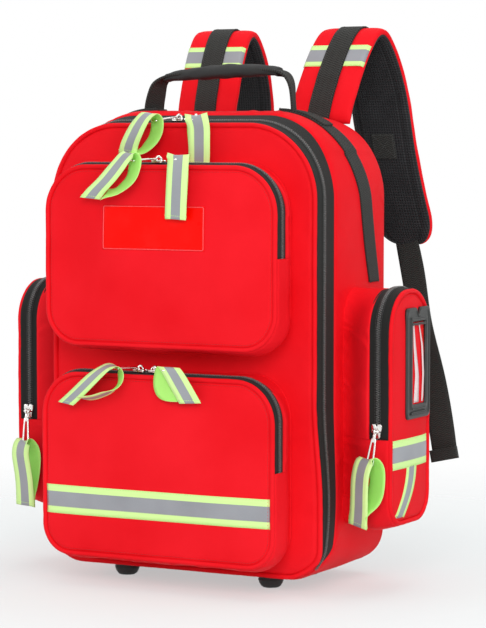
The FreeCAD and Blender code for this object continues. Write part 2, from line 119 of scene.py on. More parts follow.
class Value:
    """What a shader node gives, to be reckoned with like a number."""

    def __init__(self, tree, node, output=0):
        self.tree, self.socket = tree, node.outputs[output]

    def math(self, operation, other=0.0):
        return Value(self.tree, add(self.tree, "ShaderNodeMath", {0: self, 1: other},
                                    operation=operation))

    def __add__(self, other):
        return self.math("ADD", other)

    def __sub__(self, other):
        return self.math("SUBTRACT", other)

    def __mul__(self, other):
        return self.math("MULTIPLY", other)

    def ramp(self, low, high):
        """Stretched so that low gives 0 and high gives 1."""
        return Value(self.tree, add(self.tree, "ShaderNodeMapRange", {0: self, 1: low, 2: high}))

    def between(self, low, high):
        """Spread so that 0 gives low and 1 gives high."""
        return Value(self.tree, add(self.tree, "ShaderNodeMapRange", {0: self, 3: low, 4: high}))

    def mix(self, a, b):
        """Colour a where this is 0, and b where it is 1."""
        return Value(self.tree, add(self.tree, "ShaderNodeMix", {0: self, 6: a, 7: b},
                                    data_type="RGBA"), 2)

    def ribs(self, pitch):
        """Rounded ribs of that pitch in metres, from -1 to 1."""
        return (self * (2 * math.pi / pitch)).math("SINE")


class Look:
    """A material in the making."""

    def __init__(self, name, **shader):
        self.material = bpy.data.materials.new(name)
        self.material.use_nodes = True
        self.tree = self.material.node_tree
        self.bsdf = self.tree.nodes["Principled BSDF"]
        for key, value in shader.items():
            socket = key.replace("_", " ").title().replace("Ior", "IOR")
            self.bsdf.inputs[socket].default_value = value
        self.vector, self.place = self.coordinates("Object")

    def coordinates(self, kind):
        """A texture coordinate, whole and in its three parts."""
        vector = Value(self.tree, add(self.tree, "ShaderNodeTexCoord"), kind)
        split = add(self.tree, "ShaderNodeSeparateXYZ", {0: vector})
        return vector, [Value(self.tree, split, k) for k in range(3)]

    def run(self):
        """Length along a strip and place across it, in metres, as its mesh stores them."""
        return self.coordinates("UV")[1][:2]

    def noise(self, scale, detail=2.0, rough=0.5):
        node = add(self.tree, "ShaderNodeTexNoise", {"Vector": self.vector, "Scale": scale,
                                                     "Detail": detail, "Roughness": rough})
        return Value(self.tree, node, "Fac")

    def finish(self, colour, roughness, height):
        """The material with its colour, its roughness and a relief in metres."""
        relief = add(self.tree, "ShaderNodeBump", {"Height": height, "Distance": 1.0,
                                                   "Strength": 1.0})
        self.tree.links.new(colour.socket, self.bsdf.inputs["Base Color"])
        if roughness:
            self.tree.links.new(roughness.socket, self.bsdf.inputs["Roughness"])
        self.tree.links.new(relief.outputs[0], self.bsdf.inputs["Normal"])
        return self.material


def toned(colour, factor, extra=0.0):
    return tuple(min(1.0, c * factor + extra) for c in colour[:3]) + (1.0,)


def fabric(name, light, dark, roughness, pitch, relief, specular=0.35, crease=0.0006):
    """Woven cloth: a plain weave, soft creases, faint wear and colour that shifts a little."""
    look = Look(name, specular_ior_level=specular)
    x, y, z = look.place
    weave = (x + y).ribs(pitch) * z.ribs(pitch)
    fine = look.noise(260.0)
    patchy = look.noise(9.0, 3.0).ramp(0.35, 0.65) * 0.8 + fine * 0.2
    return look.finish(patchy.mix(dark, light), fine.between(roughness - 0.06, roughness + 0.06),
                       weave * relief + look.noise(28.0, 2.0, 0.45) * crease)


def webbing(name, light, dark, rib, relief, roughness=0.8):
    """Ribbed webbing: ribs across its length, woven in a fine herringbone, with tight edges."""
    look = Look(name, sheen_weight=0.04, sheen_roughness=0.5, specular_ior_level=0.2)
    along, across = look.run()
    zigzag = across.math("PINGPONG", rib * 1.5)
    weave = (along + zigzag * 0.6).ribs(rib) + across.ribs(rib * 0.55) * 0.5
    lint = look.noise(420.0, 3.0, 0.7)
    # lighter on the crests of the ribs and darker between them, which is painted shade of the ribs,
    # mixed with lint that varies at random
    rib_shade_and_lint = weave.ramp(-1.2, 1.4) * 0.7 + lint * 0.3
    return look.finish(rib_shade_and_lint.mix(dark, light), lint.between(roughness - 0.1, roughness + 0.1),
                       weave * relief)


def reflective(name, width, share, lime=(0.70, 1.0, 0.36, 1), silver=(0.295, 0.305, 0.33, 1)):
    """Lime tape with a silver middle of glass beads, both finely ribbed."""
    look = Look(name, sheen_weight=0.1)
    along, across = look.run()
    edge = (across - width / 2).math("ABSOLUTE").math("GREATER_THAN", width * share / 2)
    beads = look.noise(900.0, 2.0, 0.8)
    cloud = look.noise(22.0).ramp(0.3, 0.7)
    middle = (beads * 0.4 + cloud * 0.6).mix(toned(silver, 0.86), toned(silver, 1.13))
    grain = along.ribs(0.0011)
    border = grain.ramp(-1.0, 1.0).mix(toned(lime, 0.9), lime)
    return look.finish(edge.mix(middle, border), edge.between(0.42, 0.7),
                       edge * -0.00015 + grain * edge * 0.00006 + beads * 0.00003)


def air_mesh(name, cell, light, dark, on_run):
    """Spacer mesh: slanting rows of small open cells, painted near black inside as the shade in
    them.
    """
    look = Look(name, roughness=0.7, sheen_weight=0.05, specular_ior_level=0.3)
    along, across = look.run() if on_run else (look.place[2], look.place[0])
    rim = ((along + across).ribs(cell) * (along - across).ribs(cell)).ramp(-0.55, 0.35)
    # the strands vary in tone at random; the cells between them take the painted shade
    cover = rim * (look.noise(700.0) * 0.6 + look.noise(45.0).ramp(0.3, 0.7) * 0.4)
    return look.finish(cover.mix(dark, light), None, rim * 0.0010)


def moulded(name, colour, roughness, grain, relief, **shader):
    """Moulded plastic or rubber: fine grain, slightly uneven gloss and faint scuffs."""
    look = Look(name, **shader)
    fine = look.noise(grain, 3.0, 0.6)
    scuff = look.noise(60.0, 5.0, 0.7).ramp(0.52, 0.75) * 0.5
    return look.finish(scuff.mix(colour, toned(colour, 1.7, 0.01)),
                       fine.between(max(0.03, roughness - 0.08), roughness + 0.1), fine * relief)


RED = fabric("red_coated", (0.86, 0.011, 0.020, 1), (0.77, 0.005, 0.011, 1), 0.60, 0.0011, 0.00004,
             specular=0.07)
LINER = fabric("grey_lining", (0.11, 0.112, 0.115, 1), (0.08, 0.082, 0.085, 1), 0.6, 0.0009,
               0.00004)
BINDING = fabric("black_binding", (0.024, 0.024, 0.024, 1), (0.010, 0.010, 0.010, 1), 0.7, 0.0012,
                 0.0001)
LIME_PLAIN = fabric("lime_ribbon", (0.50, 0.95, 0.22, 1), (0.38, 0.82, 0.14, 1), 0.65, 0.0008,
                    0.00005)
TAPE = webbing("zip_tape_weave", (0.019, 0.020, 0.018, 1), (0.007, 0.007, 0.007, 1), 0.0012,
               0.00007, 0.85)
WEB = webbing("ribbed_webbing", (0.058, 0.058, 0.052, 1), (0.009, 0.009, 0.009, 1), 0.0026, 0.00035)
MESH, PAD_MESH = (air_mesh(name, 0.0060, (0.034, 0.034, 0.037, 1), (0.002, 0.002, 0.003, 1), on_run)
                  for name, on_run in (("spacer_mesh", True), ("pad_mesh", False)))
COIL = moulded("coil_nylon", (0.12, 0.12, 0.117, 1), 0.26, 800.0, 0.00002, specular_ior_level=0.7)
METAL = moulded("nickel", (0.80, 0.79, 0.76, 1), 0.16, 500.0, 0.00001, metallic=1.0)
RUBBER = moulded("moulded_rubber", (0.016, 0.016, 0.016, 1), 0.62, 500.0, 0.00012)
PLASTIC = moulded("grained_plastic", (0.014, 0.016, 0.015, 1), 0.42, 900.0, 0.00007)
BOARD = moulded("board_sheet", (0.10, 0.10, 0.10, 1), 0.6, 300.0, 0.00008)
THREAD_RED, THREAD_DARK, THREAD_LIME = (
    moulded(name + "_thread", colour, 0.6, 900.0, 0.00005) for name, colour in (
        ("red", (0.62, 0.006, 0.012, 1)), ("dark", (0.05, 0.05, 0.05, 1)),
        ("lime", (0.55, 0.85, 0.25, 1))))
VINYL = moulded("clear_vinyl", (0.95, 0.03, 0.02, 1), 0.14, 40.0, 0.0002, alpha=0.45,
                specular_ior_level=0.3)
WELD = moulded("vinyl_weld", (0.93, 0.06, 0.07, 1), 0.25, 200.0, 0.0001)
# pale sheets that stand in for reflections on the card window: painted glints
PAINTED_GLINT = moulded("vinyl_painted_glint", (0.95, 0.74, 0.74, 1), 0.2, 60.0, 0.0001, alpha=0.85)
PATCH = moulded("clear_patch", (1.0, 0.002, 0.0, 1), 0.30, 30.0, 0.0002, alpha=0.92,
                specular_ior_level=0.12)
BAND_TAPE, TAG_TAPE, STRAP_TAPE = (
    reflective("reflective_" + name, width, share)
    for name, width, share in (("band", 0.031, 0.52), ("tag", 0.025, 0.44), ("strap", 0.026, 0.56)))


# ---------------------------------------------------------------- paths and meshes
Shape = namedtuple("Shape", "left right bottom top r_low r_top")
Path = namedtuple("Path", "points normals along")
RIM = 2.5   # radius of the piping
SEAM = 4.0  # from an outline to the edge of the sewn face in it
GAP = 0.3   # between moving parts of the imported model


def inset(s, d):
    return Shape(s.left + d, s.right - d, s.bottom + d, s.top - d,
                 max(s.r_low - d, 0.5), max(s.r_top - d, 0.5))

def outline(s, step=4.0):
    """The way round a rounded rectangle, from the middle of its lower edge over its left side."""
    middle = (s.left + s.right) / 2
    pts, nrm = [], []

    def line(a, b, n):
        count = max(1, round(math.dist(a, b) / step))
        for t in np.arange(count) / count:
            pts.append((a[0] + (b[0] - a[0]) * t, a[1] + (b[1] - a[1]) * t))
            nrm.append(n)

    def arc(cx, cz, r, start):
        count = max(5, round(r * math.pi / 2 / step))
        for t in np.arange(count) / count:
            angle = start - t * math.pi / 2
            pts.append((cx + r * math.cos(angle), cz + r * math.sin(angle)))
            nrm.append((math.cos(angle), math.sin(angle)))

    l, r, b, t, rl, rt = s
    line((middle, b), (l + rl, b), (0, -1))
    arc(l + rl, b + rl, rl, -math.pi / 2)
    line((l, b + rl), (l, t - rt), (-1, 0))
    arc(l + rt, t - rt, rt, math.pi)
    line((l + rt, t), (r - rt, t), (0, 1))
    arc(r - rt, t - rt, rt, math.pi / 2)
    line((r, t - rt), (r, b + rl), (1, 0))
    arc(r - rl, b + rl, rl, 0)
    line((r - rl, b), (middle, b), (0, -1))
    pts = np.array(pts)
    return Path(pts, np.array(nrm, float), lengths(pts))


def part_of(path, keep):
    """The stretch of a path whose points are kept; it must not pass the start."""
    index = np.nonzero(keep)[0]
    index = np.arange(index[0], index[-1] + 1)
    return Path(path.points[index], path.normals[index], path.along[index])


def trimmed(path, height):
    """The stretch of a path above a height, with its two ends exactly on it."""
    p = part_of(path, path.points[:, 1] > height)
    p.points[0, 1] = height
    p.points[-1, 1] = height
    return p


def settled(points):
    """The filled bag's own shape: wider low down at the front, and crowned along its top."""
    x, y, z = np.moveaxis(np.asarray(points, float), -1, 0)
    low = smooth((205 - z) / 110) * smooth((np.abs(x) - 141) / 19) * (1 - smooth((y + 10) / 90))
    fall = 1 - 0.3 * smooth((y - 56) / 26) - 0.25 * smooth((y - 95) / 70)
    crown = 10.5 * smooth(y / 58) * fall * smooth((z - 425) / 60)
    return vec(x + np.where(x > 0, 7.5, -3.5) * low, y, z + crown)


def front_place(u, w, v):
    return settled(vec(u, w, v))


def right_place(u, w, v):
    return vec(-w, u, v)


def left_place(u, w, v):
    return vec(w, u, v)


def ripple(points, size, seed, count=8):
    """Smooth uneven relief of about that size, mostly between -1 and 1."""
    draw = np.random.default_rng(seed)
    points = np.asarray(points, float)
    total = np.zeros(points.shape[:-1])
    for _ in range(count):
        way = draw.normal(size=points.shape[-1])
        way *= 2 * math.pi / (size * draw.uniform(0.7, 1.6)) / np.linalg.norm(way)
        total += np.sin(points @ way + draw.uniform(0, 2 * math.pi))
    return total / math.sqrt(count)


def smooth(t):
    t = np.clip(t, 0, 1)
    return t * t * (3 - 2 * t)


def gathers(along, from_seam, total, spacing, seed, reach=14.0):
    """Small slanting folds that start at a sewn seam and run out into slack cloth."""
    draw = np.random.default_rng(seed)
    relief = np.zeros(np.broadcast(along, from_seam).shape)
    place = draw.uniform(0, spacing)
    while place < total:
        lean, wide = draw.uniform(-0.9, 0.9), draw.uniform(2.2, 4.2)
        size, far = draw.uniform(0.5, 2.1), reach * draw.uniform(0.5, 1.4)
        off = along - place - lean * from_seam
        fade = np.exp(-(from_seam / far) ** 2)
        relief += size * np.exp(-(off / wide) ** 2) * fade
        relief -= size * 0.6 * np.exp(-((off - wide * 1.9) / wide) ** 2) * fade
        place += spacing * draw.uniform(0.45, 1.7)
    return relief * smooth(from_seam / 3.5)


def build(name, points, faces, material, body, run=None, slot=None):
    """A piece from points in millimetres. run holds length along and place across, per point."""
    data = bpy.data.meshes.new(name)
    data.from_pydata(at(np.asarray(points).reshape(-1, 3)).tolist(), [], faces)
    if run is not None:
        corner = np.zeros(len(data.loops), np.int32)
        data.loops.foreach_get("vertex_index", corner)
        layer = data.uv_layers.new(name="run")
        layer.data.foreach_set("uv", (np.asarray(run, float).reshape(-1, 2) * MM)[corner].ravel())
    shape = bmesh.new()
    shape.from_mesh(data)
    bmesh.ops.recalc_face_normals(shape, faces=shape.faces)
    shape.to_mesh(data)
    shape.free()
    data.polygons.foreach_set("use_smooth", [True] * len(data.polygons))
    data.materials.append(material)
    piece = bpy.data.objects.new(name, data)
    bpy.context.scene.collection.objects.link(piece)
    if body:
        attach(piece, body)
    return piece


def grid_faces(rows, columns, wrap_rows=False, wrap_columns=False, start=0):
    faces = []
    for i in range(rows if wrap_rows else rows - 1):
        for j in range(columns if wrap_columns else columns - 1):
            a, b = i * columns, (i + 1) % rows * columns
            k = (j + 1) % columns
            faces.append((start + a + j, start + a + k, start + b + k, start + b + j))
    return faces


def closed_strip(rows, columns, wrap_rows=False):
    """Faces of a strip whose profile is closed, with its two ends capped."""
    faces = grid_faces(rows, columns, wrap_rows, True)
    if not wrap_rows:
        faces.append(tuple(range(columns)))
        faces.append(tuple((rows - 1) * columns + j for j in range(columns)))
    return faces

def two_sided(name, front, back, material, body, run=None, way=1, **extra):
    """A closed piece from two grids of points. way, 1 or -1, is the way taken round their rim,
    which decides how its faces split into triangles."""
    rows, columns = front.shape[:2]
    count = rows * columns
    faces = grid_faces(rows, columns) + [f[::-1] for f in grid_faces(rows, columns, start=count)]
    index = np.arange(count).reshape(rows, columns)
    rim = np.concatenate([index[0], index[1:, -1], index[-1, -2::-1], index[-2:0:-1, 0]])
    rim = rim[::way].tolist()
    faces += [(a, b, b + count, a + count) for a, b in zip(rim, rim[1:] + rim[:1])]
    if run is not None:
        run = np.concatenate([np.reshape(run, (-1, 2))] * 2)
    points = np.concatenate([front.reshape(-1, 3), back.reshape(-1, 3)])
    return build(name, points, faces, material, body, run, **extra)


def sweep(name, path, profile, place, material, body, closed=False, **extra):
    """A profile of (outward, depth) points carried along a path. It may differ at each point."""
    profile = np.asarray(profile, float)
    if profile.ndim == 2:
        profile = np.broadcast_to(profile, (len(path.points),) + profile.shape)
    uv = path.points[:, None] + path.normals[:, None] * profile[..., :1]
    points = place(uv[..., 0], profile[..., 1], uv[..., 1])
    rows, columns = profile.shape[:2]
    run = None
    if extra.pop("runs", False):
        run = vec(path.along[:, None], profile[..., 1])
    return build(name, points, closed_strip(rows, columns, closed), material, body, run, **extra)


def round_profile(radius, depth, out=0.0, sides=10):
    angle = circle(sides)
    return vec(out + radius * np.cos(angle), depth + radius * np.sin(angle))


def skin(outer, thick):
    """A closed profile from its outer side and a thickness inwards."""
    inner = outer[..., ::-1, :].copy()
    inner[..., 0] -= thick
    return np.concatenate([outer, inner], -2)


def hard_edges(piece, width, segments=2):
    """Small rounded edges on a hard piece."""
    edge = piece.modifiers.new("edge", "BEVEL")
    edge.width = width * MM
    edge.segments = segments
    edge.limit_method = "ANGLE"
    edge.angle_limit = math.radians(35)
    return piece


def face_grid(s, step=4.0):
    """Columns that fill a rounded rectangle: u and v of each point."""
    rt, rl = s.r_top, s.r_low
    r = max(rt, rl)
    bend = np.arange(0, 1, 1 / max(5, round(r * 1.5 / step)))
    side = r * (1 - np.cos(bend * math.pi / 2))
    middle = np.linspace(0, 1, max(3, round((s.right - s.left - 2 * r) / step)) + 1)
    u = np.concatenate([s.left + side, s.left + r + (s.right - s.left - 2 * r) * middle,
                        s.right - side[::-1]])
    from_side = np.minimum(u - s.left, s.right - u)

    def cut(radius):
        d = np.clip(radius - from_side, 0, radius)
        return radius - np.sqrt(np.maximum(radius ** 2 - d ** 2, 0))

    low, high = s.bottom + cut(rl), s.top - cut(rt)
    rows = np.linspace(0, 1, round((s.top - s.bottom) / step) + 1)
    v = low[:, None] + (high - low)[:, None] * rows
    return np.broadcast_to(u[:, None], v.shape), v


def inside(s, u, v):
    """How far each point lies inside a rounded rectangle."""
    cu, cv = (s.left + s.right) / 2, (s.bottom + s.top) / 2
    r = np.where(v > cv, s.r_top, s.r_low)
    du = np.abs(u - cu) - (s.right - s.left) / 2 + r
    dv = np.abs(v - cv) - (s.top - s.bottom) / 2 + r
    outside = np.hypot(np.maximum(du, 0), np.maximum(dv, 0)) + np.minimum(np.maximum(du, dv), 0)
    return r - outside


def cushion(s, crown, seed, pucker=0.5, roll=9.0, slack=1.0):
    """How far a sewn face stands proud: a soft roll by the seam, a low crown, slack and puckers."""
    def height(u, v):
        d = np.maximum(inside(s, u, v), 0)
        reach = min(s.right - s.left, s.top - s.bottom) / 2
        lift = crown * (0.45 * (1 - np.exp(-d / roll)) + 0.55 * smooth(d / reach))
        lift = lift - 1.5 * np.exp(-(np.maximum(d - 4.0, 0) / 2.4) ** 2)
        here = vec(u, v)
        near = np.exp(-d / 13.0)
        pull = ripple(here, 26.0, seed) * pucker * near * (1 - np.exp(-d / 3.0))
        loose = ripple(here * [1.0, 0.6], 120.0, seed + 1) * slack * smooth(d / 30)
        return lift + pull + loose
    return height


def panel(name, s, face_y, height, thick, place, material, body, step=4.0, **extra):
    """A sewn face inside an outline, standing proud of face_y by height(u, v)."""
    u, v = face_grid(s, step)
    edge = np.minimum(np.maximum(inside(s, u, v), 0) / 6.0, 1.0)
    return two_sided(name, place(u, face_y - height(u, v), v),
                     place(u, face_y - height(u, v) * 0.9 * edge + thick, v), material, body,
                     way=-1, **extra)


def resampled(points, pitch, ways):
    """Points evenly spaced along a line, and the directions that go with them."""
    along = lengths(points)
    wanted = np.linspace(0, along[-1], max(2, round(along[-1] / pitch) + 1))
    return [vec(*(np.interp(wanted, along, values[:, k]) for k in range(3)))
            for values in (points, ways)]


def little_blocks(name, centres, ways, ups, size, material, body, slim=0.6, **extra):
    """Many small blocks in one piece, such as zip coil turns or stitches. Their size is length,
    width and height, and slim is the share of it that is left on top."""
    across = unit(np.cross(ups, ways))
    length, width, height = size
    corners = [(a, b, c, slim if c > 0 else 1) for c in (-1, 1)
               for a, b in ((-1, -1), (1, -1), (1, 1), (-1, 1))]
    points = np.stack([centres + ways * (a * k * length / 2) + across * (b * k * width / 2)
                       + ups * (c * height / 2) for a, b, c, k in corners], 1).reshape(-1, 3)
    sides = ((0, 3, 2, 1), (4, 5, 6, 7), (0, 1, 5, 4), (1, 2, 6, 5), (2, 3, 7, 6), (3, 0, 4, 7))
    faces = [tuple(8 * i + k for k in side) for i in range(len(centres)) for side in sides]
    return build(name, points, faces, material, body, **extra)


def stitches(name, line, ups, body, material, pitch=3.4, length=2.5, wide=0.55, **extra):
    """A row of sewing stitches along a line that lies on a surface facing ups."""
    places, normal = resampled(line, pitch, np.broadcast_to(ups, line.shape))
    ways = unit(np.gradient(places, axis=0))
    return little_blocks(name, places, ways, unit(normal), (length, wide, 0.45), material, body,
                         **extra)


def edge_stitches(name, points, share, lift, ups, body, thread, slot):
    """A row near each long edge of a strip; share is how close it keeps to that edge."""
    for number, (edge, inner) in enumerate(((0, 1), (-1, -2))):
        line = points[:, edge] * share + points[:, inner] * (1 - share) + lift
        stitches(f"{name}{number}", line, ups, body, thread, slot=slot)


def crossed(half, low, high, count):
    """The way of a sewn square with a cross in it."""
    corners = [(-half, low), (half, low), (half, high), (-half, high), (-half, low), (half, high),
               (half, low), (-half, high)]
    return np.concatenate([np.linspace(a, b, count)[:-1] for a, b in zip(corners, corners[1:])])


# ---------------------------------------------------------------- surfaces laid on others
def thin_grid(name, points, thick, normal_from, material, body, run=None, **extra):
    """A thin closed strip from a grid of points, thickened away from the side it lies on."""
    normals = unit(np.cross(np.gradient(points, axis=0), np.gradient(points, axis=1)))
    normals *= np.sign((normals * normal_from).sum(-1, keepdims=True) + 1e-9)
    return two_sided(name, points + normals * thick, points, material, body, run, **extra)


def on_face(surface, place, u, v):
    """Points on a sewn face, where surface gives its depth."""
    return place(u, surface(u, v), v)


def rectangle(u0, u1, v0, v1, step=4.0):
    """Rows along u and columns along v."""
    u = np.linspace(u0, u1, max(2, round(abs(u1 - u0) / step) + 1))
    v = np.linspace(v0, v1, max(3, round(abs(v1 - v0) / step) + 1))
    return np.meshgrid(u, v, indexing="ij")


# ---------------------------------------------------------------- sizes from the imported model
lo, hi = mm_box("main_shell", "main_zip_rear", "main_zip_front")
MAIN = Shape(lo[0], hi[0], lo[2], hi[2], 35.0, 80.0)
REAR = hi[1]
ZIP_Y, ZIP_BEND, ZIP_END, ZIP_TAPE = 18.0, 100.0, 31.0, 24.0
lo, hi = mm_box("upper_pocket_body", "upper_lid_zip")
UPPER = Shape(lo[0], hi[0], lo[2], hi[2], 40.0, 50.0)
lo, hi = mm_box("lower_pocket_body", "lower_lid_zip")
LOWER = Shape(lo[0], hi[0], lo[2], hi[2], 33.0, 45.0)
UPPER_DEPTH, LOWER_DEPTH = 49.0, 56.0
UPPER_FOLD = mm_box("upper_lid_zip")[0][2] - GAP
LOWER_FOLD = mm_box("lower_lid_zip")[0][2] - GAP
lo, hi = mm_box("right_lid_panel", "right_pocket_body")
SIDE = Shape(lo[1], hi[1], lo[2], hi[2], 30.0, 45.0)
SIDE_X = mm_box("card_window")[0][0] - 1.25
SIDE_FOLD = mm_box("right_lid_zip")[0][2] - GAP


def zip_line(height):
    """Depth of the main zip, which curves forward to the lower corners."""
    rise = ZIP_BEND - ZIP_END
    radius = (ZIP_Y ** 2 + rise ** 2) / (2 * ZIP_Y)
    below = np.clip(ZIP_BEND - height, 0, rise)
    return ZIP_Y - radius + np.sqrt(radius ** 2 - below ** 2)


def columns_between(a, b, step):
    """Evenly spaced values from a to b along a new last axis."""
    a, b = np.broadcast_arrays(np.asarray(a, float), np.asarray(b, float))
    count = max(2, round(float(np.max(np.abs(b - a))) / step) + 1)
    t = np.linspace(0, 1, count)
    return a[..., None] + (b - a)[..., None] * t


COIL_PITCH = 2.4


def zip_half(name, path, a, b, chain, place, body, slot="zip_tape", coil_side=1, rise=0.0):
    """One half of a zip along a path: its tape from a to b and its coil beside the chain line."""
    chain = np.broadcast_to(np.asarray(chain, float), path.along.shape)
    depth = columns_between(np.broadcast_to(a, chain.shape), np.broadcast_to(b, chain.shape), 3.0)
    crest = rise * np.clip(path.normals[:, 1], 0, 1)
    lift = (-0.5 + 0.25 * np.exp(-np.abs(depth - chain[:, None]) / 2.5)
            + crest[:, None] * np.exp(-((depth - chain[:, None]) / 7.0) ** 2))
    tape = sweep(name + "_tape", path, skin(vec(lift, depth), 1.0), place, TAPE, body, runs=True,
                 slot=slot)
    flat = path.points + path.normals * (0.25 + crest)[:, None]
    centre = place(flat[:, 0], chain + coil_side * 0.95, flat[:, 1])
    above = place(path.normals[:, 0], 0.0, path.normals[:, 1])
    line, ups = resampled(centre, COIL_PITCH, above)
    ahead = unit(np.gradient(line, axis=0))
    ways = unit(np.cross(ahead, unit(ups)))
    # the turns of one half lie between those of the other
    shift = (0.25 if coil_side > 0 else 0.75) * COIL_PITCH
    little_blocks(name + "_coil", line + ahead * shift, ways, unit(ups), (2.5, 1.35, 1.7), COIL,
                  body, slot=slot)
    row = place(flat[:, 0], chain + coil_side * 3.2, flat[:, 1])
    stitches(name + "_stitch", row, above, body, THREAD_DARK, slot=slot)
    return tape


# ---------------------------------------------------------------- main compartment
main_path = outline(MAIN, 2.6)
heights = main_path.points[:, 1]
tape_end = zip_line(heights) + ZIP_TAPE
covered = smooth((heights - ZIP_END + 6) / 26.0)
shell_front = 2.6 + (tape_end - 2.6) * covered
ROUND = 7.0
t = np.linspace(0, 1, 44)
depth = shell_front[:, None] + (REAR - 1.0 - shell_front[:, None]) * t
on_side = np.abs(main_path.normals[:, 0])
upright = smooth((on_side - 0.6) / 0.4)
free = np.where(heights > SIDE.top + 10, 1.0, smooth((heights - SIDE.top + 30) / 40) * 0.8 + 0.2)
bulge = 1.2 + 2.8 * upright * free + 1.6 * (main_path.normals[:, 1] > 0.5)
bulge = bulge[:, None] * np.sin(np.pi * t) ** 0.7
world = vec(main_path.along[:, None], depth)
crease = (ripple(world * [1.0, 0.35], 34.0, 3) * 0.3 * np.exp(-t * 6)
          + gathers(world[..., 0], depth - shell_front[:, None], main_path.along[-1], 34.0, 4, 17.0)
          + gathers(world[..., 0], REAR - 1.0 - depth, main_path.along[-1], 46.0, 6, 15.0) * 0.7)
slack = ripple(world, 90.0, 5) * 0.7 * np.sin(np.pi * t)
lip = 0.9 * (1 - np.exp(-t * 60))
outer = bulge + crease * 0.8 * (1 - np.exp(-t * 25)) + slack + lip
angle = np.linspace(0.12, 1, 6) * math.pi / 2
rear = np.broadcast_to(REAR - 1.0 + ROUND * np.sin(angle), (len(heights), 6))
rear_out = -ROUND * (1 - np.cos(angle)) + outer[:, -1:] * (1 - angle / 1.6)
side_wall = vec(np.concatenate([outer, rear_out], 1), np.concatenate([depth, rear], 1))


def line_inside(piece, rows, columns):
    """The inner half of a swept skin takes the lining."""
    piece.data.materials.append(LINER)
    for face in piece.data.polygons[:rows * columns]:
        if columns // 2 <= face.index % columns < columns - 1:
            face.material_index = 1


shell = sweep("main_gusset", main_path, skin(side_wall, 3.6), front_place, RED, "pack", closed=True,
              slot="red_fabric")
line_inside(shell, len(heights), 2 * side_wall.shape[1])
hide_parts("main_shell")

zip_path = trimmed(outline(MAIN, 3.2), ZIP_END)
chain = zip_line(zip_path.points[:, 1])
front_tape = zip_half("main_zip_front", zip_path, np.minimum(1.5, chain), chain - 0.3, chain,
                      front_place, "front_flap", coil_side=-1)
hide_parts("main_zip_front")
rear_tape = zip_half("main_zip_rear", zip_path, chain + 0.3, chain + ZIP_TAPE + 2.0, chain,
                     front_place, "pack")
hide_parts("main_zip_rear")

main_height = cushion(MAIN, 3.2, 11, pucker=0.55, roll=7.0, slack=1.1)

front = panel("front_panel_fabric", inset(MAIN, SEAM), 0.0, main_height, 2.6, front_place, RED,
              "front_flap", 3.6, slot="red_fabric")
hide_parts("front_panel")


def piping(name, s, depth, place, body, radius=RIM, step=3.0, **extra):
    """A covered cord just inside an outline, with the slight unevenness of a sewn edge."""
    path = outline(inset(s, radius), step)
    wander = ripple(path.points, 60.0, 21) * 0.25
    thick = 1 + 0.03 * ripple(path.points, 14.0, 22)
    profile = round_profile(radius, 0.0, 0.0, 12)[None] * thick[:, None, None]
    profile = profile + vec(0.0, wander + depth)[:, None]
    return sweep(name, path, profile, place, RED, body, closed=True, slot="red_fabric", **extra)


edge = piping("main_piping", MAIN, 0.0, front_place, "front_flap")
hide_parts("front_piping")


# ---------------------------------------------------------------- pockets
def stepped(path, height):
    """The path with two close points at a height on each side, for a sharp step there."""
    pts, nrm = list(map(tuple, path.points)), list(map(tuple, path.normals))
    made_p, made_n = [], []
    for i, (p, n) in enumerate(zip(pts, nrm)):
        q = pts[(i + 1) % len(pts)]
        made_p.append(p)
        made_n.append(n)
        if (p[1] - height) * (q[1] - height) < 0:
            sign = 1 if q[1] > p[1] else -1
            for offset in (-0.15, 0.15):
                made_p.append((p[0], height + sign * offset))
                made_n.append(n)
    made_p, made_n = np.array(made_p), np.array(made_n)
    return Path(made_p, made_n, lengths(made_p))


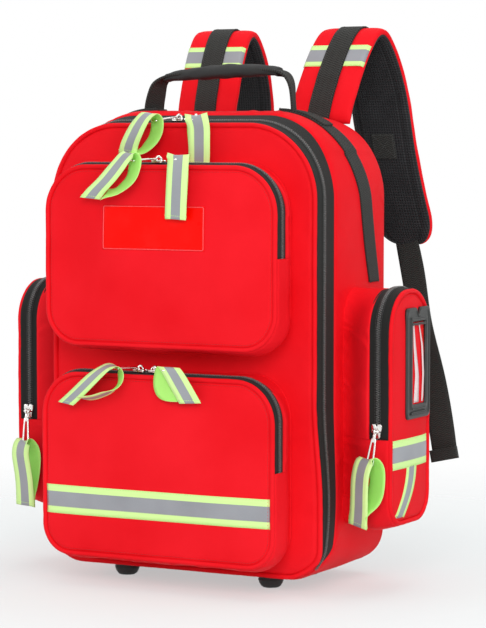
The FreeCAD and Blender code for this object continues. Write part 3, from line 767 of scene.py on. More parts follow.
def pocket(name, s, face_w, base_w, fold, place, fixed, lid, tape, height, seed, taper=0.0, sag=5.0,
           step=2.4):
    """A zipped pocket: gusset, both zip halves, piping and a face. Its gusset steps at its fold
    line.
    """
    split = face_w + RIM + tape
    deep = taper > 12
    path = stepped(outline(s, step), fold)
    v = path.points[:, 1]
    begin = np.where(v > fold, split + tape - 1.2, face_w + 1.0)
    t = np.linspace(0, 1, max(14, round((base_w - face_w) / 2.4)))
    depth = begin[:, None] + (base_w + 1.5 - begin[:, None]) * t
    down = np.clip(-path.normals[:, 1], 0, 1)[:, None]
    up = np.clip(path.normals[:, 1], 0, 1)[:, None]
    middle = np.sin(np.pi * np.clip((depth - face_w) / (base_w - face_w), 0, 1))
    here = vec(path.along[:, None], depth)

    def folds(from_seam, spacing, draw, reach):
        return gathers(here[..., 0], from_seam, path.along[-1], spacing, draw, reach)

    out = (sag * down + 1.6 * (1 - down) * (1 - up)) * middle - 1.2 * up * middle
    out = out + folds(base_w - depth, 19.0, seed, 12.0) * (1 - 0.6 * up)
    out = out + folds(depth - begin[:, None], 26.0, seed + 2, 9.0) * 0.6 * (1 - up)
    out = out + ripple(here, 55.0, seed + 1) * 0.8 * middle + 0.5
    out = out + folds(base_w - depth, 58.0, seed + 4, 34.0) * 0.7 * (1 - up) * deep
    drawn_in = smooth((depth - face_w - 20.0) / (base_w - face_w - 20.0))
    facing = np.clip(-path.normals[:, 0] if deep else np.abs(path.normals[:, 0]), 0, 1)
    out = out - taper * drawn_in * facing[:, None]
    out = np.where(t < 0.02, out * 0.2, out)
    gusset = sweep(name + "_gusset", path, skin(vec(out, depth), 1.8), place, RED, fixed,
                   closed=True, slot="red_fabric")
    line_inside(gusset, len(v), 2 * len(t))
    hem = round_profile(1.0, base_w - 0.6, 0.4, 6)[None] + vec(out[:, -1], 0.0)[:, None]
    sweep(name + "_base_hem", path, hem, place, RED, fixed, closed=True, slot="red_fabric")
    zip_path = trimmed(outline(s, step), fold)
    lid_tape = zip_half(name + "_lid_zip", zip_path, face_w + 1.0, split - 0.3, split, place, lid,
                        coil_side=-1, rise=1.5)
    rear_tape = zip_half(name + "_rear_zip", zip_path, split + 0.3, split + tape + 1.0, split,
                         place, fixed, rise=1.5)
    # the points 7 mm below and above the fold line; the edge pieces are built in place, without a
    # body
    start, end = (at(place(0.0, face_w, fold + d)) for d in (-7.0, 7.0))
    cord = piping(name + "_piping", s, face_w, place, None, step=step)
    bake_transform(cord)
    face = panel(name + "_face", inset(s, SEAM), face_w, height, 1.8, place, RED, None, step,
                 slot="red_fabric")
    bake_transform(face)
    seam = outline(inset(s, 7.2), 3.4).points
    line = place(seam[:, 0], face_w - height(seam[:, 0], seam[:, 1]) - 0.12, seam[:, 1])
    row = stitches(name + "_topstitch", line, place(0.0, -1.0, 0.0), None, THREAD_RED,
                   slot="red_fabric")
    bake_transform(row)
    return gusset, lid_tape, rear_tape, cord, face


upper_height = cushion(UPPER, 5.0, 31, pucker=0.45, slack=0.9)
lower_height = cushion(LOWER, 5.0, 41, pucker=0.45, slack=0.9)
side_cushion = cushion(SIDE, 3.2, 51, pucker=0.35, slack=0.6)


def side_height(u, v):
    """The side face keeps low, so that the card holder lies on it."""
    height = side_cushion(u, v)
    return np.where(height > 2.4, 2.4 + 0.7 * np.tanh((height - 2.4) / 0.7), height)


gusset, lid_tape, rear_tape, cord, face = pocket("upper", UPPER, -UPPER_DEPTH, -2.0, UPPER_FOLD,
                                                 front_place, "front_flap", "upper_lid", 9.0,
                                                 upper_height, 61, 9.5)
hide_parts("upper_pocket_body")
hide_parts("upper_lid_zip")
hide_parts("pocket_zip_rear")
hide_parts("upper_lid_panel")
gusset, lid_tape, rear_tape, cord, face = pocket("lower", LOWER, -LOWER_DEPTH, -2.0, LOWER_FOLD,
                                                 front_place, "front_flap", "lower_lid", 9.0,
                                                 lower_height, 71, 9.5)
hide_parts("lower_pocket_body")
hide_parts("lower_lid_zip")
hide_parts("lower_lid_panel")
for side, place in (("right", right_place), ("left", left_place)):
    gusset, lid_tape, rear_tape, cord, face = pocket(side, SIDE, -SIDE_X, MAIN.left, SIDE_FOLD,
                                                     place, "pack", side + "_lid", 11.0,
                                                     side_height, 81, 26.0)
    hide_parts(side + "_pocket_body")
    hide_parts(side + "_lid_zip")
    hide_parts(side + "_lid_panel")
    if side == "right":
        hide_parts("side_zip_rear")
        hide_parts("side_piping")


def face_of(depth, height):
    """The depth of a sewn face at u and v, from that of its rim and how far it stands proud."""
    return lambda u, v: -depth - height(u, v)


upper_face, lower_face = face_of(UPPER_DEPTH, upper_height), face_of(LOWER_DEPTH, lower_height)
side_face = face_of(SIDE_X, side_height)
BAND_WIDTH = 31.0


def tape_band(name, surface, place, u, v, body, width, thick=0.5, facing=(0, -1, 0)):
    """Reflective tape sewn on a face, run along its first axis, with a stitch row by each edge."""
    points = on_face(surface, place, u, v)
    run = vec(lengths(points), np.linspace(0, width, points.shape[1]))
    facing = np.array(facing, float)
    piece = thin_grid(name, points, thick, facing, BAND_TAPE, body, run, slot="reflective_tape")
    edge_stitches(name + "_stitch", points, 0.72, facing * (thick + 0.05), facing, body,
                  THREAD_LIME, "reflective_tape")
    return piece


lo, hi = mm_box("front_tape")
u, v = rectangle(lo[0] - 0.6, hi[0] + 0.6, lo[2], hi[2])
band = tape_band("lower_band", lower_face, front_place, u, v, "front_flap", hi[2] - lo[2])
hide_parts("front_tape")
lo, hi = mm_box("side_tape")
for side, place, facing in (("right", right_place, (1, 0, 0)), ("left", left_place, (-1, 0, 0))):
    u, v = rectangle(SIDE.left + 4.4, SIDE.right - 4.4, hi[2] - BAND_WIDTH, hi[2])
    band = tape_band(side + "_band", side_face, place, u, v, "pack", BAND_WIDTH, facing=facing)
    if side == "right":
        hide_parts("side_tape")
    # the strip below it, which bends towards the back as it goes down
    v, u = rectangle(hi[2] - 30.0, SIDE.bottom + 9.0, 73.0, 97.0)
    u = u - 27.0 * ((hi[2] - 30.0 - v) / (hi[2] - 39.0 - SIDE.bottom)) ** 1.8
    tape_band(side + "_strip", side_face, place, u, v, "pack", BAND_WIDTH, facing=facing)


# ---------------------------------------------------------------- webbing over the shoulders
JOINTS = {j["name"]: j for j in frame["joints"]}


def pivot_of(joint):
    place = np.array(JOINTS[joint]["pos_m"], float)
    place[1] -= FRONT
    return place / MM


def gusset_out(indices, y):
    """How far the main gusset stands out at some path points and depths."""
    return np.array([np.interp(np.atleast_1d(y[k]), side_wall[i, :, 1], side_wall[i, :, 0])
                     for k, i in enumerate(indices)])


WEB_WIDTH = 27.0
HANDLE = pivot_of("handle_swing")
for side, sign in (("right", 1), ("left", -1)):
    start = 80.0 if sign > 0 else 68.0
    far_side = (main_path.points[:, 0] * sign > start) & (heights > SIDE.top + 1.5)
    index = np.nonzero(far_side)[0]
    if sign > 0:
        index = index[::-1]
    z = heights[index]
    middle = np.interp(z, [SIDE.top, MAIN.top - MAIN.r_top, MAIN.top], [131.5, 108.0, HANDLE[1]])
    across = np.linspace(-WEB_WIDTH / 2, WEB_WIDTH / 2, 9)
    y = middle[:, None] + across
    out = gusset_out(index, y) + 0.15
    base = main_path.points[index][:, None] + main_path.normals[index][:, None] * out[..., None]
    points = settled(vec(base[..., 0], y, base[..., 1]))
    along = lengths(points[:, 4])
    outward = vec(main_path.normals[index][:, 0], 0.0, main_path.normals[index][:, 1])[:, None]
    piece = thin_grid(side + "_shoulder_webbing", points, 1.5, outward, WEB, "pack",
                      vec(along[:, None], across + WEB_WIDTH / 2), slot="black_webbing")
    if sign > 0:
        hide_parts("side_webbing")
    edge_stitches(side + "_shoulder_stitch", points, 0.5, outward[:, 0] * 1.55, outward[:, 0],
                  "pack", THREAD_DARK, "black_webbing")
    # the folded end of the handle webbing, sewn down over the shoulder
    rows = np.nonzero(np.abs(base[:, 4, 0]) < 130.0)[0]
    count = len(rows)
    lift = np.interp(np.arange(count), [0, 2, count - 2, count - 1], [1.3, 1.5, 1.6, 1.4])
    pts = points[rows] + outward[rows] * lift[:, None, None]
    pts[..., 1] = middle[rows, None] + across * 0.86
    thin_grid(side + "_handle_foot", pts, 2.2, outward[rows], WEB, "pack",
              vec(along[rows][:, None], across + WEB_WIDTH / 2), slot="black_webbing")
    last = pts[-2:].mean(0) + outward[rows[-1]] * 2.3
    stitches(side + "_foot_bar", last, outward[rows[-1]], "pack", THREAD_DARK, pitch=2.2,
             length=1.8, slot="black_webbing")


# ---------------------------------------------------------------- ribbons
def spline(knots, count):
    """A smooth line through knots, with evenly shared chord lengths and free ends."""
    knots = np.asarray(knots, float)
    t = lengths(knots[:, :3])
    n, h = len(t), np.diff(t)
    system, right = np.eye(n), np.zeros((n, knots.shape[1]))
    for i in range(1, n - 1):
        system[i, i - 1:i + 2] = h[i - 1], 2 * (h[i - 1] + h[i]), h[i]
        right[i] = 6 * ((knots[i + 1] - knots[i]) / h[i] - (knots[i] - knots[i - 1]) / h[i - 1])
    bend = np.linalg.solve(system, right)
    at_t = np.linspace(0, t[-1], count)
    k = np.clip(np.searchsorted(t, at_t, side="right") - 1, 0, n - 2)
    a, b = (t[k + 1] - at_t) / h[k], (at_t - t[k]) / h[k]
    wide = (h[k] ** 2 / 6)[:, None]
    return (knots[k] * a[:, None] + knots[k + 1] * b[:, None]
            + (bend[k] * (a ** 3 - a)[:, None] + bend[k + 1] * (b ** 3 - b)[:, None]) * wide)


def ribbon(name, knots, width, thick, material, body, cup=0.0, step=2.5, columns=7,
           skew=(0, 0, 0, 0), **extra):
    """A flat strip through knots, each a middle point and the direction across it. skew is the
    share of the slant that stays in that direction at its start, at its turn, just after the turn
    and at its end."""
    knots = np.asarray(knots, float)
    line = spline(knots, max(6, round(lengths(knots[:, :3])[-1] / step)))
    centre, across = line[:, :3], unit(line[:, 3:6])
    ahead = unit(np.gradient(centre, axis=0))
    keep = np.interp(np.linspace(0, 1, len(line)), (0, 0.44, 0.58, 1), skew)[:, None]
    across = unit(across - ahead * (across * ahead).sum(-1, keepdims=True) * (1 - keep))
    up = unit(np.cross(ahead, across))
    place = np.linspace(-1, 1, columns)
    points = (centre[:, None] + across[:, None] * (place * width / 2)[None, :, None]
              + up[:, None] * (cup * (1 - place ** 2))[None, :, None])
    run = vec(lengths(centre)[:, None], (place + 1) * width / 2)
    return thin_grid(name, points, thick, up[:, None], material, body, run, **extra), points, up


# ---------------------------------------------------------------- carry handle
# the loop hangs low at its ends: across and up from its pivot, and how far its width turns
droop = np.array([[-79.5, -4.0, 0.55], [-78.0, 8.0, 0.5], [-75.5, 18.0, 0.4], [-71.5, 28.0, 0.2],
                  [-64.0, 34.0, 0], [-54.0, 36.5, 0], [-30.0, 38.5, 0], [10.0, 41.0, 0],
                  [58.0, 41.5, 0], [72.0, 40.5, 0], [82.0, 37.0, -0.1], [87.5, 29.0, -0.2],
                  [90.0, 14.0, -0.3], [91.5, -4.0, -0.3]], float)
knots = [(x, HANDLE[1], HANDLE[2] + z, turned, 1, 0) for x, z, turned in droop]
webbing_loop, line, up = ribbon("handle_loop", knots, 24.0, 2.4, WEB, "handle", cup=0.6,
                                slot="black_webbing")
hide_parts("handle_webbing")
edge_stitches("handle_stitch", line, 0.55, up * 2.3, up, "handle", THREAD_DARK, "black_webbing")

share = np.linspace(0, 1, 46)
x = -62.0 + 138.0 * share
z = HANDLE[2] + np.interp(x, droop[3:-3, 0], droop[3:-3, 1]) + 0.8
full = np.sin(np.pi * np.clip(share, 0.03, 0.97)) ** 0.5
turn = circle(28)
wide = (8.0 + 6.5 * full)[:, None] * squarer(np.cos(turn), 0.8)
tall = (3.4 + 4.0 * full)[:, None] * squarer(np.sin(turn), 0.75)
ruck = ripple(vec(x[:, None], turn) * [1.0, 12.0], 20.0, 91) * 0.5
tall = tall + ruck * np.sign(np.sin(turn)) - np.cos(turn) ** 2 * 1.6
points = vec(x[:, None], HANDLE[1] + wide + ruck, z[:, None] + tall)
grip = build("handle_grip_wrap", points, closed_strip(46, 28), BINDING, "handle",
             slot="black_webbing")
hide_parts("handle_grip")
seam = vec(x, HANDLE[1] - (8.0 + 6.5 * full) * 0.93, z - 2.6 - full * 0.8)
stitches("grip_stitch", seam, (0.0, -0.8, -0.4), "handle", THREAD_DARK, slot="black_webbing")


# ---------------------------------------------------------------- shoulder straps
ROUTE = [(0, 0, 0), (0, 22, 57), (0, 57, 98), (0, 87, 58), (0, 90, -25), (0, 96, -140)]
SPLAY = {"right": 68.0, "left": 18.0}
HALF, FOAM, TOE, WEB_HALF = 37.0, 5.5, 36.0, 13.5
LEAN = {"right": (2.5, 4.0), "left": (7.0, -1.5)}


class StrapRun:
    """The line of a strap and its cross-section frame at any share of its length."""

    def __init__(self, side):
        self.pivot = pivot_of(side + "_strap_lift")
        self.line = spline([p + p for p in ROUTE], 400)[:, :3]
        self.along = lengths(self.line)
        self.length = self.along[-1]
        self.splay, self.lean = SPLAY[side], LEAN[side]

    def middle(self, s):
        """How far back and up the middle of the foam lies at some lengths."""
        return vec(*(np.interp(s, self.along, self.line[:, k]) for k in (1, 2)))

    def at(self, s, across, out):
        """A point at length s, some way across, and some way out from the middle of the foam."""
        s = np.asarray(s, float)
        pick = np.clip(s, 0, self.length)
        y, z = np.moveaxis(self.middle(pick), -1, 0)
        ty, tz = np.moveaxis(self.middle(pick + 0.8) - self.middle(pick - 0.8), -1, 0)
        size = np.hypot(ty, tz)
        ty, tz = ty / size, tz / size
        beyond = s - pick
        shift = (self.splay * np.clip(pick / self.length, 0, 1) ** 1.4
                 + np.interp(pick, [0, 125, self.length - 30], self.lean + (0.0,)))
        return vec(self.pivot[0] + shift + across, self.pivot[1] + y + ty * beyond - tz * out,
                   self.pivot[2] + z + tz * beyond + ty * out)

    def out_way(self, s):
        return unit(self.at(s, 0.0, 1.0) - self.at(s, 0.0, 0.0))


def pad_half(run, s):
    """Half width of a strap pad: full, then rounded at its lower end."""
    left = np.clip((run.length - s) / TOE, 0, 1)
    return 12.0 + (HALF - 12.0) * np.sqrt(1 - (1 - left) ** 2)


for side in ("right", "left"):
    run = StrapRun(side)
    body = side + "_strap"
    s = np.concatenate([np.linspace(-FOAM * 0.8, run.length - TOE, 90),
                        run.length - TOE * (1 - np.sin(np.linspace(0.08, 1, 16) * math.pi / 2))])
    turn = circle(36)
    over = pad_half(run, s)[:, None] * squarer(np.cos(turn), 0.35)
    puff = squarer(np.sin(turn), 0.55)
    tip = np.clip(np.minimum((s + FOAM) / 8.0, (run.length + 1 - s) / 10.0), 0.25, 1)[:, None]
    wave = ripple(vec(s[:, None], over) * [1.0, 0.5], 30.0, 101) * 0.45
    web_dip = -0.9 * np.exp(-(np.abs(over) / 15.0) ** 6)
    top = np.where(puff > 0, FOAM + wave * 0.8 + web_dip, 3.5)
    points = run.at(s[:, None], over * (1 - 0.02 * wave), puff * top * tip + 0.2)
    pad = build(side + "_strap_cover", points, closed_strip(len(s), len(turn)), RED, body,
                slot="red_fabric")
    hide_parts(side + "_strap_pad")

    s_in = s[2:]
    half_in = pad_half(run, s_in) - 1.6
    across = np.linspace(-1, 1, 31)
    over = across * half_in[:, None]
    d = (1 - np.abs(across)) * half_in[:, None]
    groove = 1.7 * np.exp(-((d - 9.5) / 1.3) ** 2)
    belly = 2.0 + 3.6 * (1 - np.exp(-d / 4.5)) - groove
    ends = np.clip((run.length + 0.5 - s_in) / 12.0, 0.0, 1)[:, None] ** 0.5
    lump = ripple(vec(s_in[:, None], across * 35.0), 42.0, 103) * 0.35
    inner = run.at(s_in[:, None], over, -2.0 - (belly + lump) * ends)
    lining = two_sided(side + "_strap_mesh", inner, run.at(s_in[:, None], over, -1.0), MESH, body,
                       vec(s_in[:, None], over + HALF), slot="black_mesh")
    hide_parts(side + "_strap_lining")

    s_web = np.linspace(-2.0, run.length - 4.0, 96)
    across = np.linspace(-WEB_HALF, WEB_HALF, 9)
    lift = FOAM + 0.05 + ripple(s_web[:, None] * np.ones(2), 26.0, 107)[:, None] * 0.25 + 0.35
    outward = run.out_way(s_web)[:, None]
    web = thin_grid(side + "_strap_web", run.at(s_web[:, None], across, lift), 1.7, outward, WEB,
                    body, vec(s_web[:, None], across + WEB_HALF), slot="black_webbing")
    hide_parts(side + "_strap_webbing")
    for number, place in enumerate((-11.8, 11.8)):
        line = run.at(s_web, place, lift[:, 0] + 1.75)
        stitches(f"{side}_web_stitch{number}", line, outward[:, 0], body, THREAD_DARK,
                 slot="black_webbing")

    s_band = run.length / 18 * 3.5 + np.linspace(-10.0, 16.0, 9)
    ss, aa = np.meshgrid(s_band, np.linspace(-1, 1, 25) * (HALF - 0.1), indexing="ij")
    edge_drop = 3.4 * smooth((np.abs(aa) - HALF + 3.5) / 3.5) ** 1.5
    points = run.at(ss, aa, FOAM + 0.35 - edge_drop)
    outward = run.out_way(s_band)[:, None]
    band = thin_grid(side + "_band_tape", points, 0.45, outward, STRAP_TAPE, body,
                     vec(aa + HALF, ss - s_band[0]), slot="reflective_tape")
    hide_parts(side + "_strap_band")
    for number, row in enumerate((0, -1)):
        line = points[row, 1:-1] + outward[row] * 0.5 + (points[4, 1:-1] - points[row, 1:-1]) * 0.08
        stitches(f"{side}_band_stitch{number}", line, outward[row], body, THREAD_LIME,
                 slot="reflective_tape")

    # the sewn square with a cross, which holds the end of the webbing on the mesh side
    box_s = run.length * 0.70
    grid_s, grid_a = np.meshgrid(np.linspace(-14, 14, 9), np.linspace(-14, 14, 9), indexing="ij")
    points = run.at(box_s + grid_s, grid_a, -2.0 - 5.3)
    outward = -run.out_way(np.array([box_s]))
    thin_grid(side + "_cross_patch", points, 1.1, outward[None], WEB, body,
              vec(grid_s + 14, grid_a + 14), slot="black_webbing")
    route = crossed(12, -12, 12, 9)
    line = run.at(box_s + route[:, 0], route[:, 1], -2.0 - 6.5)
    stitches(side + "_cross_stitch", line, outward, body, THREAD_DARK, pitch=2.6, length=2.0,
             slot="black_webbing")

    # the loose webbing below, with a rolled hem
    top = pivot_of(side + "_tail_swing")
    slide = 54.0 if side == "right" else -19.0
    fall = np.array([slide, -15.0, -240.0])
    places = [-0.05, 0.12, 0.35, 0.6, 0.85, 0.985]
    bow = [-3.0, -1.0, -3.0, 2.0, 2.5, 0.0]
    knots = [tuple(top + fall * p + [0, b, 0]) + (1.0, 0.06 * b, 0.0) for p, b in zip(places, bow)]
    tail, _, _ = ribbon(side + "_tail_web", knots, 29.0, 1.8, WEB, side + "_tail", cup=0.5,
                        slot="black_webbing")
    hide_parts(side + "_strap_tail")
    hem = [tuple(top + fall * p) + (1.0, 0.0, 0.0) for p in (0.945, 0.96, 0.98, 1.0)]
    ribbon(side + "_tail_hem", hem, 31.5, 6.4, WEB, side + "_tail", cup=0.4, slot="black_webbing")


# ---------------------------------------------------------------- zip sliders, tabs and tags
def oriented(points, origin, along, across, up):
    points = np.asarray(points, float)
    return (origin + points[..., :1] * along + points[..., 1:2] * across + points[..., 2:] * up)


def prism(name, outline_points, low, high, frame_of, material, body, edge=0.4, **extra):
    """A plate with a given outline between two heights, in a frame (origin, along, across, up)."""
    count = len(outline_points)
    flat = np.asarray(outline_points, float)
    points = np.concatenate([np.column_stack([flat, np.full(count, z)]) for z in (low, high)])
    faces = [tuple(range(count)), tuple(range(2 * count - 1, count - 1, -1))]
    faces += [(i, (i + 1) % count, (i + 1) % count + count, i + count) for i in range(count)]
    piece = build(name, oriented(points, *frame_of), faces, material, body, **extra)
    return hard_edges(piece, edge)


def slider(name, side_zip):
    """The polished slider body with its guide lips and its crown, over the CAD slider."""
    hinge = pivot_of(name + "_pull_swing")
    x_axis, y_axis, z_axis = np.eye(3)
    if side_zip:
        along, across, up = z_axis, x_axis, -y_axis
    else:
        along, across, up = x_axis, y_axis, z_axis
    seat = hinge - up * (6.3 if side_zip else 4.9)
    frame_of = (seat, along, across, up)
    side = [(-7.4, 2.8), (-6.4, 3.9), (-2.0, 4.3), (2.4, 5.8), (6.2, 5.8), (7.4, 4.6), (7.4, 1.2),
            (5.2, 0.6)]
    shape = side + [(a, -b) for a, b in side[::-1]]
    plate = prism(name + "_slider_body", shape, 1.3, 3.0, frame_of, METAL, name + "_zip",
                  slot="zip_metal")
    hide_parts(name + "_slider")
    for k in (-1, 1):
        lip = [(-7.0, k * 2.9), (-6.2, k * 3.9), (-2.0, k * 4.3), (2.4, k * 5.8), (6.2, k * 5.8),
               (7.0, k * 4.8), (6.0, k * 4.7), (2.4, k * 4.7), (-2.0, k * 3.3), (-6.2, k * 2.9)]
        prism(f"{name}_slider_lip{(k + 1) // 2}", lip[::k], 0.2, 1.5, frame_of, METAL,
              name + "_zip", 0.2, slot="zip_metal")
    bend = np.linspace(0, math.pi, 15)
    reach = 4.1
    top = 7.5 if side_zip else 6.1
    arch = vec(reach * np.cos(bend), 0.0, 2.6 + (top - 2.6) * np.sin(bend) ** 0.62)
    wide_way = along if side_zip else y_axis
    line = oriented(arch, seat, x_axis, wide_way, up)
    out_way = np.cross(unit(np.gradient(line, axis=0)), wide_way)
    turn = circle(10)
    width = (1.5 - 0.5 * np.sin(bend))[:, None, None]
    points = (line[:, None] + wide_way * np.cos(turn)[None, :, None] * width
              + out_way[:, None] * (0.75 * np.sin(turn))[None, :, None])
    build(name + "_slider_crown", points, closed_strip(15, 10), METAL, name + "_zip",
          slot="zip_metal")
    return hinge


def long_loop(reach, wide, end, half):
    """A loop round a middle line: half widths along its sides, and a squared end."""
    return np.array([(a, -b) for a, b in zip(reach, wide)] + [(end, -half), (end, half)]
                    + [(a, b) for a, b in zip(reach[::-1], wide[::-1])])


def pull_tab(name, hinge, end):
    """The pull tab: an eye on the crown, a slim neck and a plate with a long slot."""
    along = unit(np.array(end, float) - hinge)
    across = unit(np.array([1.0, 0, 0]) - along * along[0])
    up = np.cross(along, across)
    length = float(np.linalg.norm(np.array(end, float) - hinge))
    share = np.linspace(0, 1, 9)
    outer = long_loop(np.linspace(7.5, length + 1.5, 9),
                      np.interp(share, [0, 0.3, 1], [2.7, 3.5, 4.6]), length + 2.4, 3.6)
    inner = long_loop(np.linspace(11.5, length - 1.0, 9), np.interp(share, [0, 1], [1.2, 2.3]),
                      length - 0.2, 1.7)
    levels = [(outer, -0.8), (outer, 0.8), (inner, 0.8), (inner, -0.8)]
    points = np.stack([vec(loop[:, 0], loop[:, 1], z) for loop, z in levels], 1)
    plate = build(name + "_tab", oriented(points, hinge, along, across, up),
                  grid_faces(len(outer), 4, True, True), METAL, name + "_tag", slot="zip_metal")
    hard_edges(plate, 0.35)
    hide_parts(name + "_pull")
    turn, small = circle(20), circle(8)
    radius = 2.55 + 0.75 * np.cos(small)
    points = vec(np.cos(turn)[:, None] * radius, 1.5 * np.sin(small),
                 np.sin(turn)[:, None] * radius)
    build(name + "_tab_eye", oriented(points, hinge, along, across, up),
          grid_faces(20, 8, True, True), METAL, name + "_tag", slot="zip_metal")
    neck = [(2.4, -1.3), (5.0, -1.5), (8.0, -2.4), (8.0, 2.4), (5.0, 1.5), (2.4, 1.3)]
    prism(name + "_tab_neck", neck, -0.75, 0.75, (hinge, along, across, up), METAL,
          name + "_tag", 0.3, slot="zip_metal")


def tag(name, knots, body, rests, skew):
    """A loop of reflective tape: silver and lime outside, plain lime inside, sewn at its hem."""
    piece, points, up = ribbon(name + "_ribbon", knots, 25.0, 0.45, TAG_TAPE, body, cup=0.35,
                               step=2.2, skew=skew, slot="reflective_tape")
    piece.data.materials.append(LIME_PLAIN)
    rows, columns = points.shape[:2]
    inner = (rows - 1) * (columns - 1)
    for face in piece.data.polygons[inner:2 * inner]:
        face.material_index = 1
    across = points[2] * 0.6 + points[1] * 0.4 + up[2] * 0.5
    stitches(name + "_hem_stitch", across, up[2], body, THREAD_LIME, pitch=2.6, length=1.9,
             slot="reflective_tape")


def turned_flat(angle):
    """The direction across a strip that faces forward, turned to its left by an angle."""
    return (-math.cos(math.radians(angle)), math.sin(math.radians(angle)), 0.0)


# the end of each tab, and the way of its tag from the hem up the front, through the tab and down
# the back to the hem: x, depth and z of the middle, the turn of the strip in degrees and its tilt
TAGS = {
    "main_left": ((-24.4, -13.5, 498.6), [
        (-56.6, -16.5, 463.5, 10, 0), (-53.3, -18.0, 472.6, 11, 0), (-48.3, -19.0, 482.2, 13, 0),
        (-42.1, -19.0, 492.8, 16, 0), (-35.0, -17.5, 502.3, 19, 0),
        (-29.7, -15.0, 505.7, 22, 0.1), (-25.0, -12.5, 502.3, 26, 0.1),
        (-23.1, -11.5, 493.3, 29, 0), (-26.4, -11.2, 482.1, 29, -0.1),
        (-34.0, -12.0, 472.6, 27, -0.1), (-43.7, -13.2, 467.2, 25, 0),
        (-51.7, -14.4, 466.2, 22, 0)]),
    "main_right": ((23.5, -10.8, 499.5), [
        (28.5, -13.0, 451.1, 0, 0), (29.3, -14.0, 464.2, -2, 0), (29.4, -14.4, 478.9, -4, 0),
        (28.9, -14.0, 490.5, -5, 0), (26.4, -13.2, 499.1, -3, 0), (23.7, -10.8, 502.7, 0, 0),
        (23.2, -8.6, 499.4, 0, 0), (24.6, -9.0, 487.4, 0, 0), (26.5, -9.6, 466.3, 0, 0),
        (27.9, -12.0, 451.3, 0, 0)]),
    "upper_left": ((-22.5, -63.0, 456.6), [
        (-75.0, -64.0, 416.3, 2, 0), (-66.5, -65.8, 424.4, 5, 0), (-54.1, -67.0, 435.0, 10, 0),
        (-40.9, -67.5, 448.7, 14, 0), (-31.1, -66.5, 459.8, 18, 0),
        (-26.2, -64.5, 463.4, 22, 0.1), (-21.8, -63.2, 459.8, 26, 0.1),
        (-20.8, -63.6, 450.9, 30, 0), (-24.9, -64.0, 439.4, 32, -0.1),
        (-33.8, -64.2, 430.4, 30, -0.15), (-45.4, -64.2, 424.0, 27, -0.1),
        (-57.1, -64.2, 420.8, 23, 0)]),
    "upper_right": ((28.4, -58.2, 457.8), [
        (26.4, -60.4, 395.5, 0, 0), (27.3, -61.2, 409.6, 0, 0), (28.6, -61.6, 430.4, 0, 0),
        (29.7, -61.4, 449.0, 0, 0), (29.9, -60.4, 458.3, 0, 0), (28.8, -58.2, 461.6, 0, 0),
        (27.3, -56.2, 458.3, 0, 0), (26.9, -56.8, 441.7, 0, 0), (25.7, -57.8, 414.7, 0, 0),
        (25.7, -59.2, 395.8, 0, 0)]),
    "lower_left": ((-38.2, -69.8, 238.0), [
        (-102.8, -69.5, 197.5, 18, 0), (-93.1, -71.0, 204.9, 18, 0),
        (-76.6, -72.5, 218.8, 20, 0), (-60.9, -73.0, 232.0, 25, 0), (-51.6, -72.0, 238.2, 30, 0),
        (-43.9, -70.5, 240.3, 37, 0.1), (-36.8, -69.5, 236.7, 43, 0.1),
        (-35.8, -69.2, 228.0, 46, 0), (-42.4, -69.2, 217.9, 46, -0.3),
        (-55.9, -69.2, 210.2, 42, -0.4), (-70.1, -69.2, 205.7, 38, -0.3),
        (-82.3, -69.4, 204.2, 36, -0.2)]),
    "lower_right": ((19.5, -69.4, 238.3), [
        (47.8, -68.0, 204.9, -4, 0), (43.3, -70.5, 214.3, -4, 0), (37.3, -72.4, 225.2, -3, 0),
        (31.1, -73.0, 234.9, 0, 0), (26.4, -72.0, 239.9, 4, 0), (22.5, -70.2, 241.3, 6, 0),
        (18.6, -68.8, 238.9, 9, 0), (15.0, -68.0, 232.2, 14, 0), (13.7, -67.4, 222.7, 14, 0),
        (17.6, -67.2, 213.4, 10, 0), (26.6, -67.2, 208.0, 6, 0), (37.6, -67.8, 206.5, 0, 0)]),
    "left_side": ((-212.6, 23.0, 137.9), [
        (-210.0, 18.0, 69.9, 4, 0), (-209.6, 16.5, 82.0, 6, 0), (-210.4, 15.5, 100.1, 8, 0),
        (-214.2, 16.0, 120.0, 10, 0), (-216.0, 18.5, 134.3, 10, 0), (-213.6, 22.5, 141.6, 10, 0),
        (-208.6, 26.0, 137.2, 16, 0), (-204.7, 28.0, 124.8, 24, 0), (-205.5, 28.0, 107.9, 26, 0),
        (-208.6, 25.5, 92.2, 18, 0), (-209.1, 18.6, 81.2, 8, 0), (-210.5, 19.2, 70.1, 4, 0)]),
    "right_side": ((211.1, 23.0, 141.4), [
        (198.6, 20.5, 74.6, 16, 0), (201.0, 18.0, 90.4, 18, 0), (202.1, 16.5, 105.4, 19, 0),
        (202.8, 16.5, 123.3, 19, 0), (205.2, 18.0, 138.5, 17, 0), (208.4, 22.5, 145.4, 12, 0),
        (212.9, 26.5, 141.6, 14, 0), (215.8, 29.0, 129.4, 19, 0), (215.3, 29.2, 115.2, 22, 0),
        (211.2, 27.6, 101.4, 20, 0), (205.2, 22.4, 93.3, 18, 0), (201.4, 19.2, 88.7, 17, 0),
        (198.5, 21.4, 74.8, 16, 0)]),
}
SLANT = {"main_left": (0.85, 0.8, 0.1, 0), "upper_left": (0.85, 0.8, 0.1, 0),
         "lower_left": (0.85, 0.8, 0.1, 0), "lower_right": (0.85, 0.85, 0.8, 0.6)}
for name, (end, knots) in TAGS.items():
    hinge = slider(name, name.endswith("side"))
    pull_tab(name, hinge, end)
    stations = []
    for x, y, z, turn_by, tilt in knots:
        way = np.array(turned_flat(turn_by)) + np.array([0.0, 0.0, tilt])
        stations.append((x, y, z) + tuple(unit(way)))
    tag(name, stations, name + "_tag", name + "_tab", SLANT.get(name, (0, 0, 0, 0)))


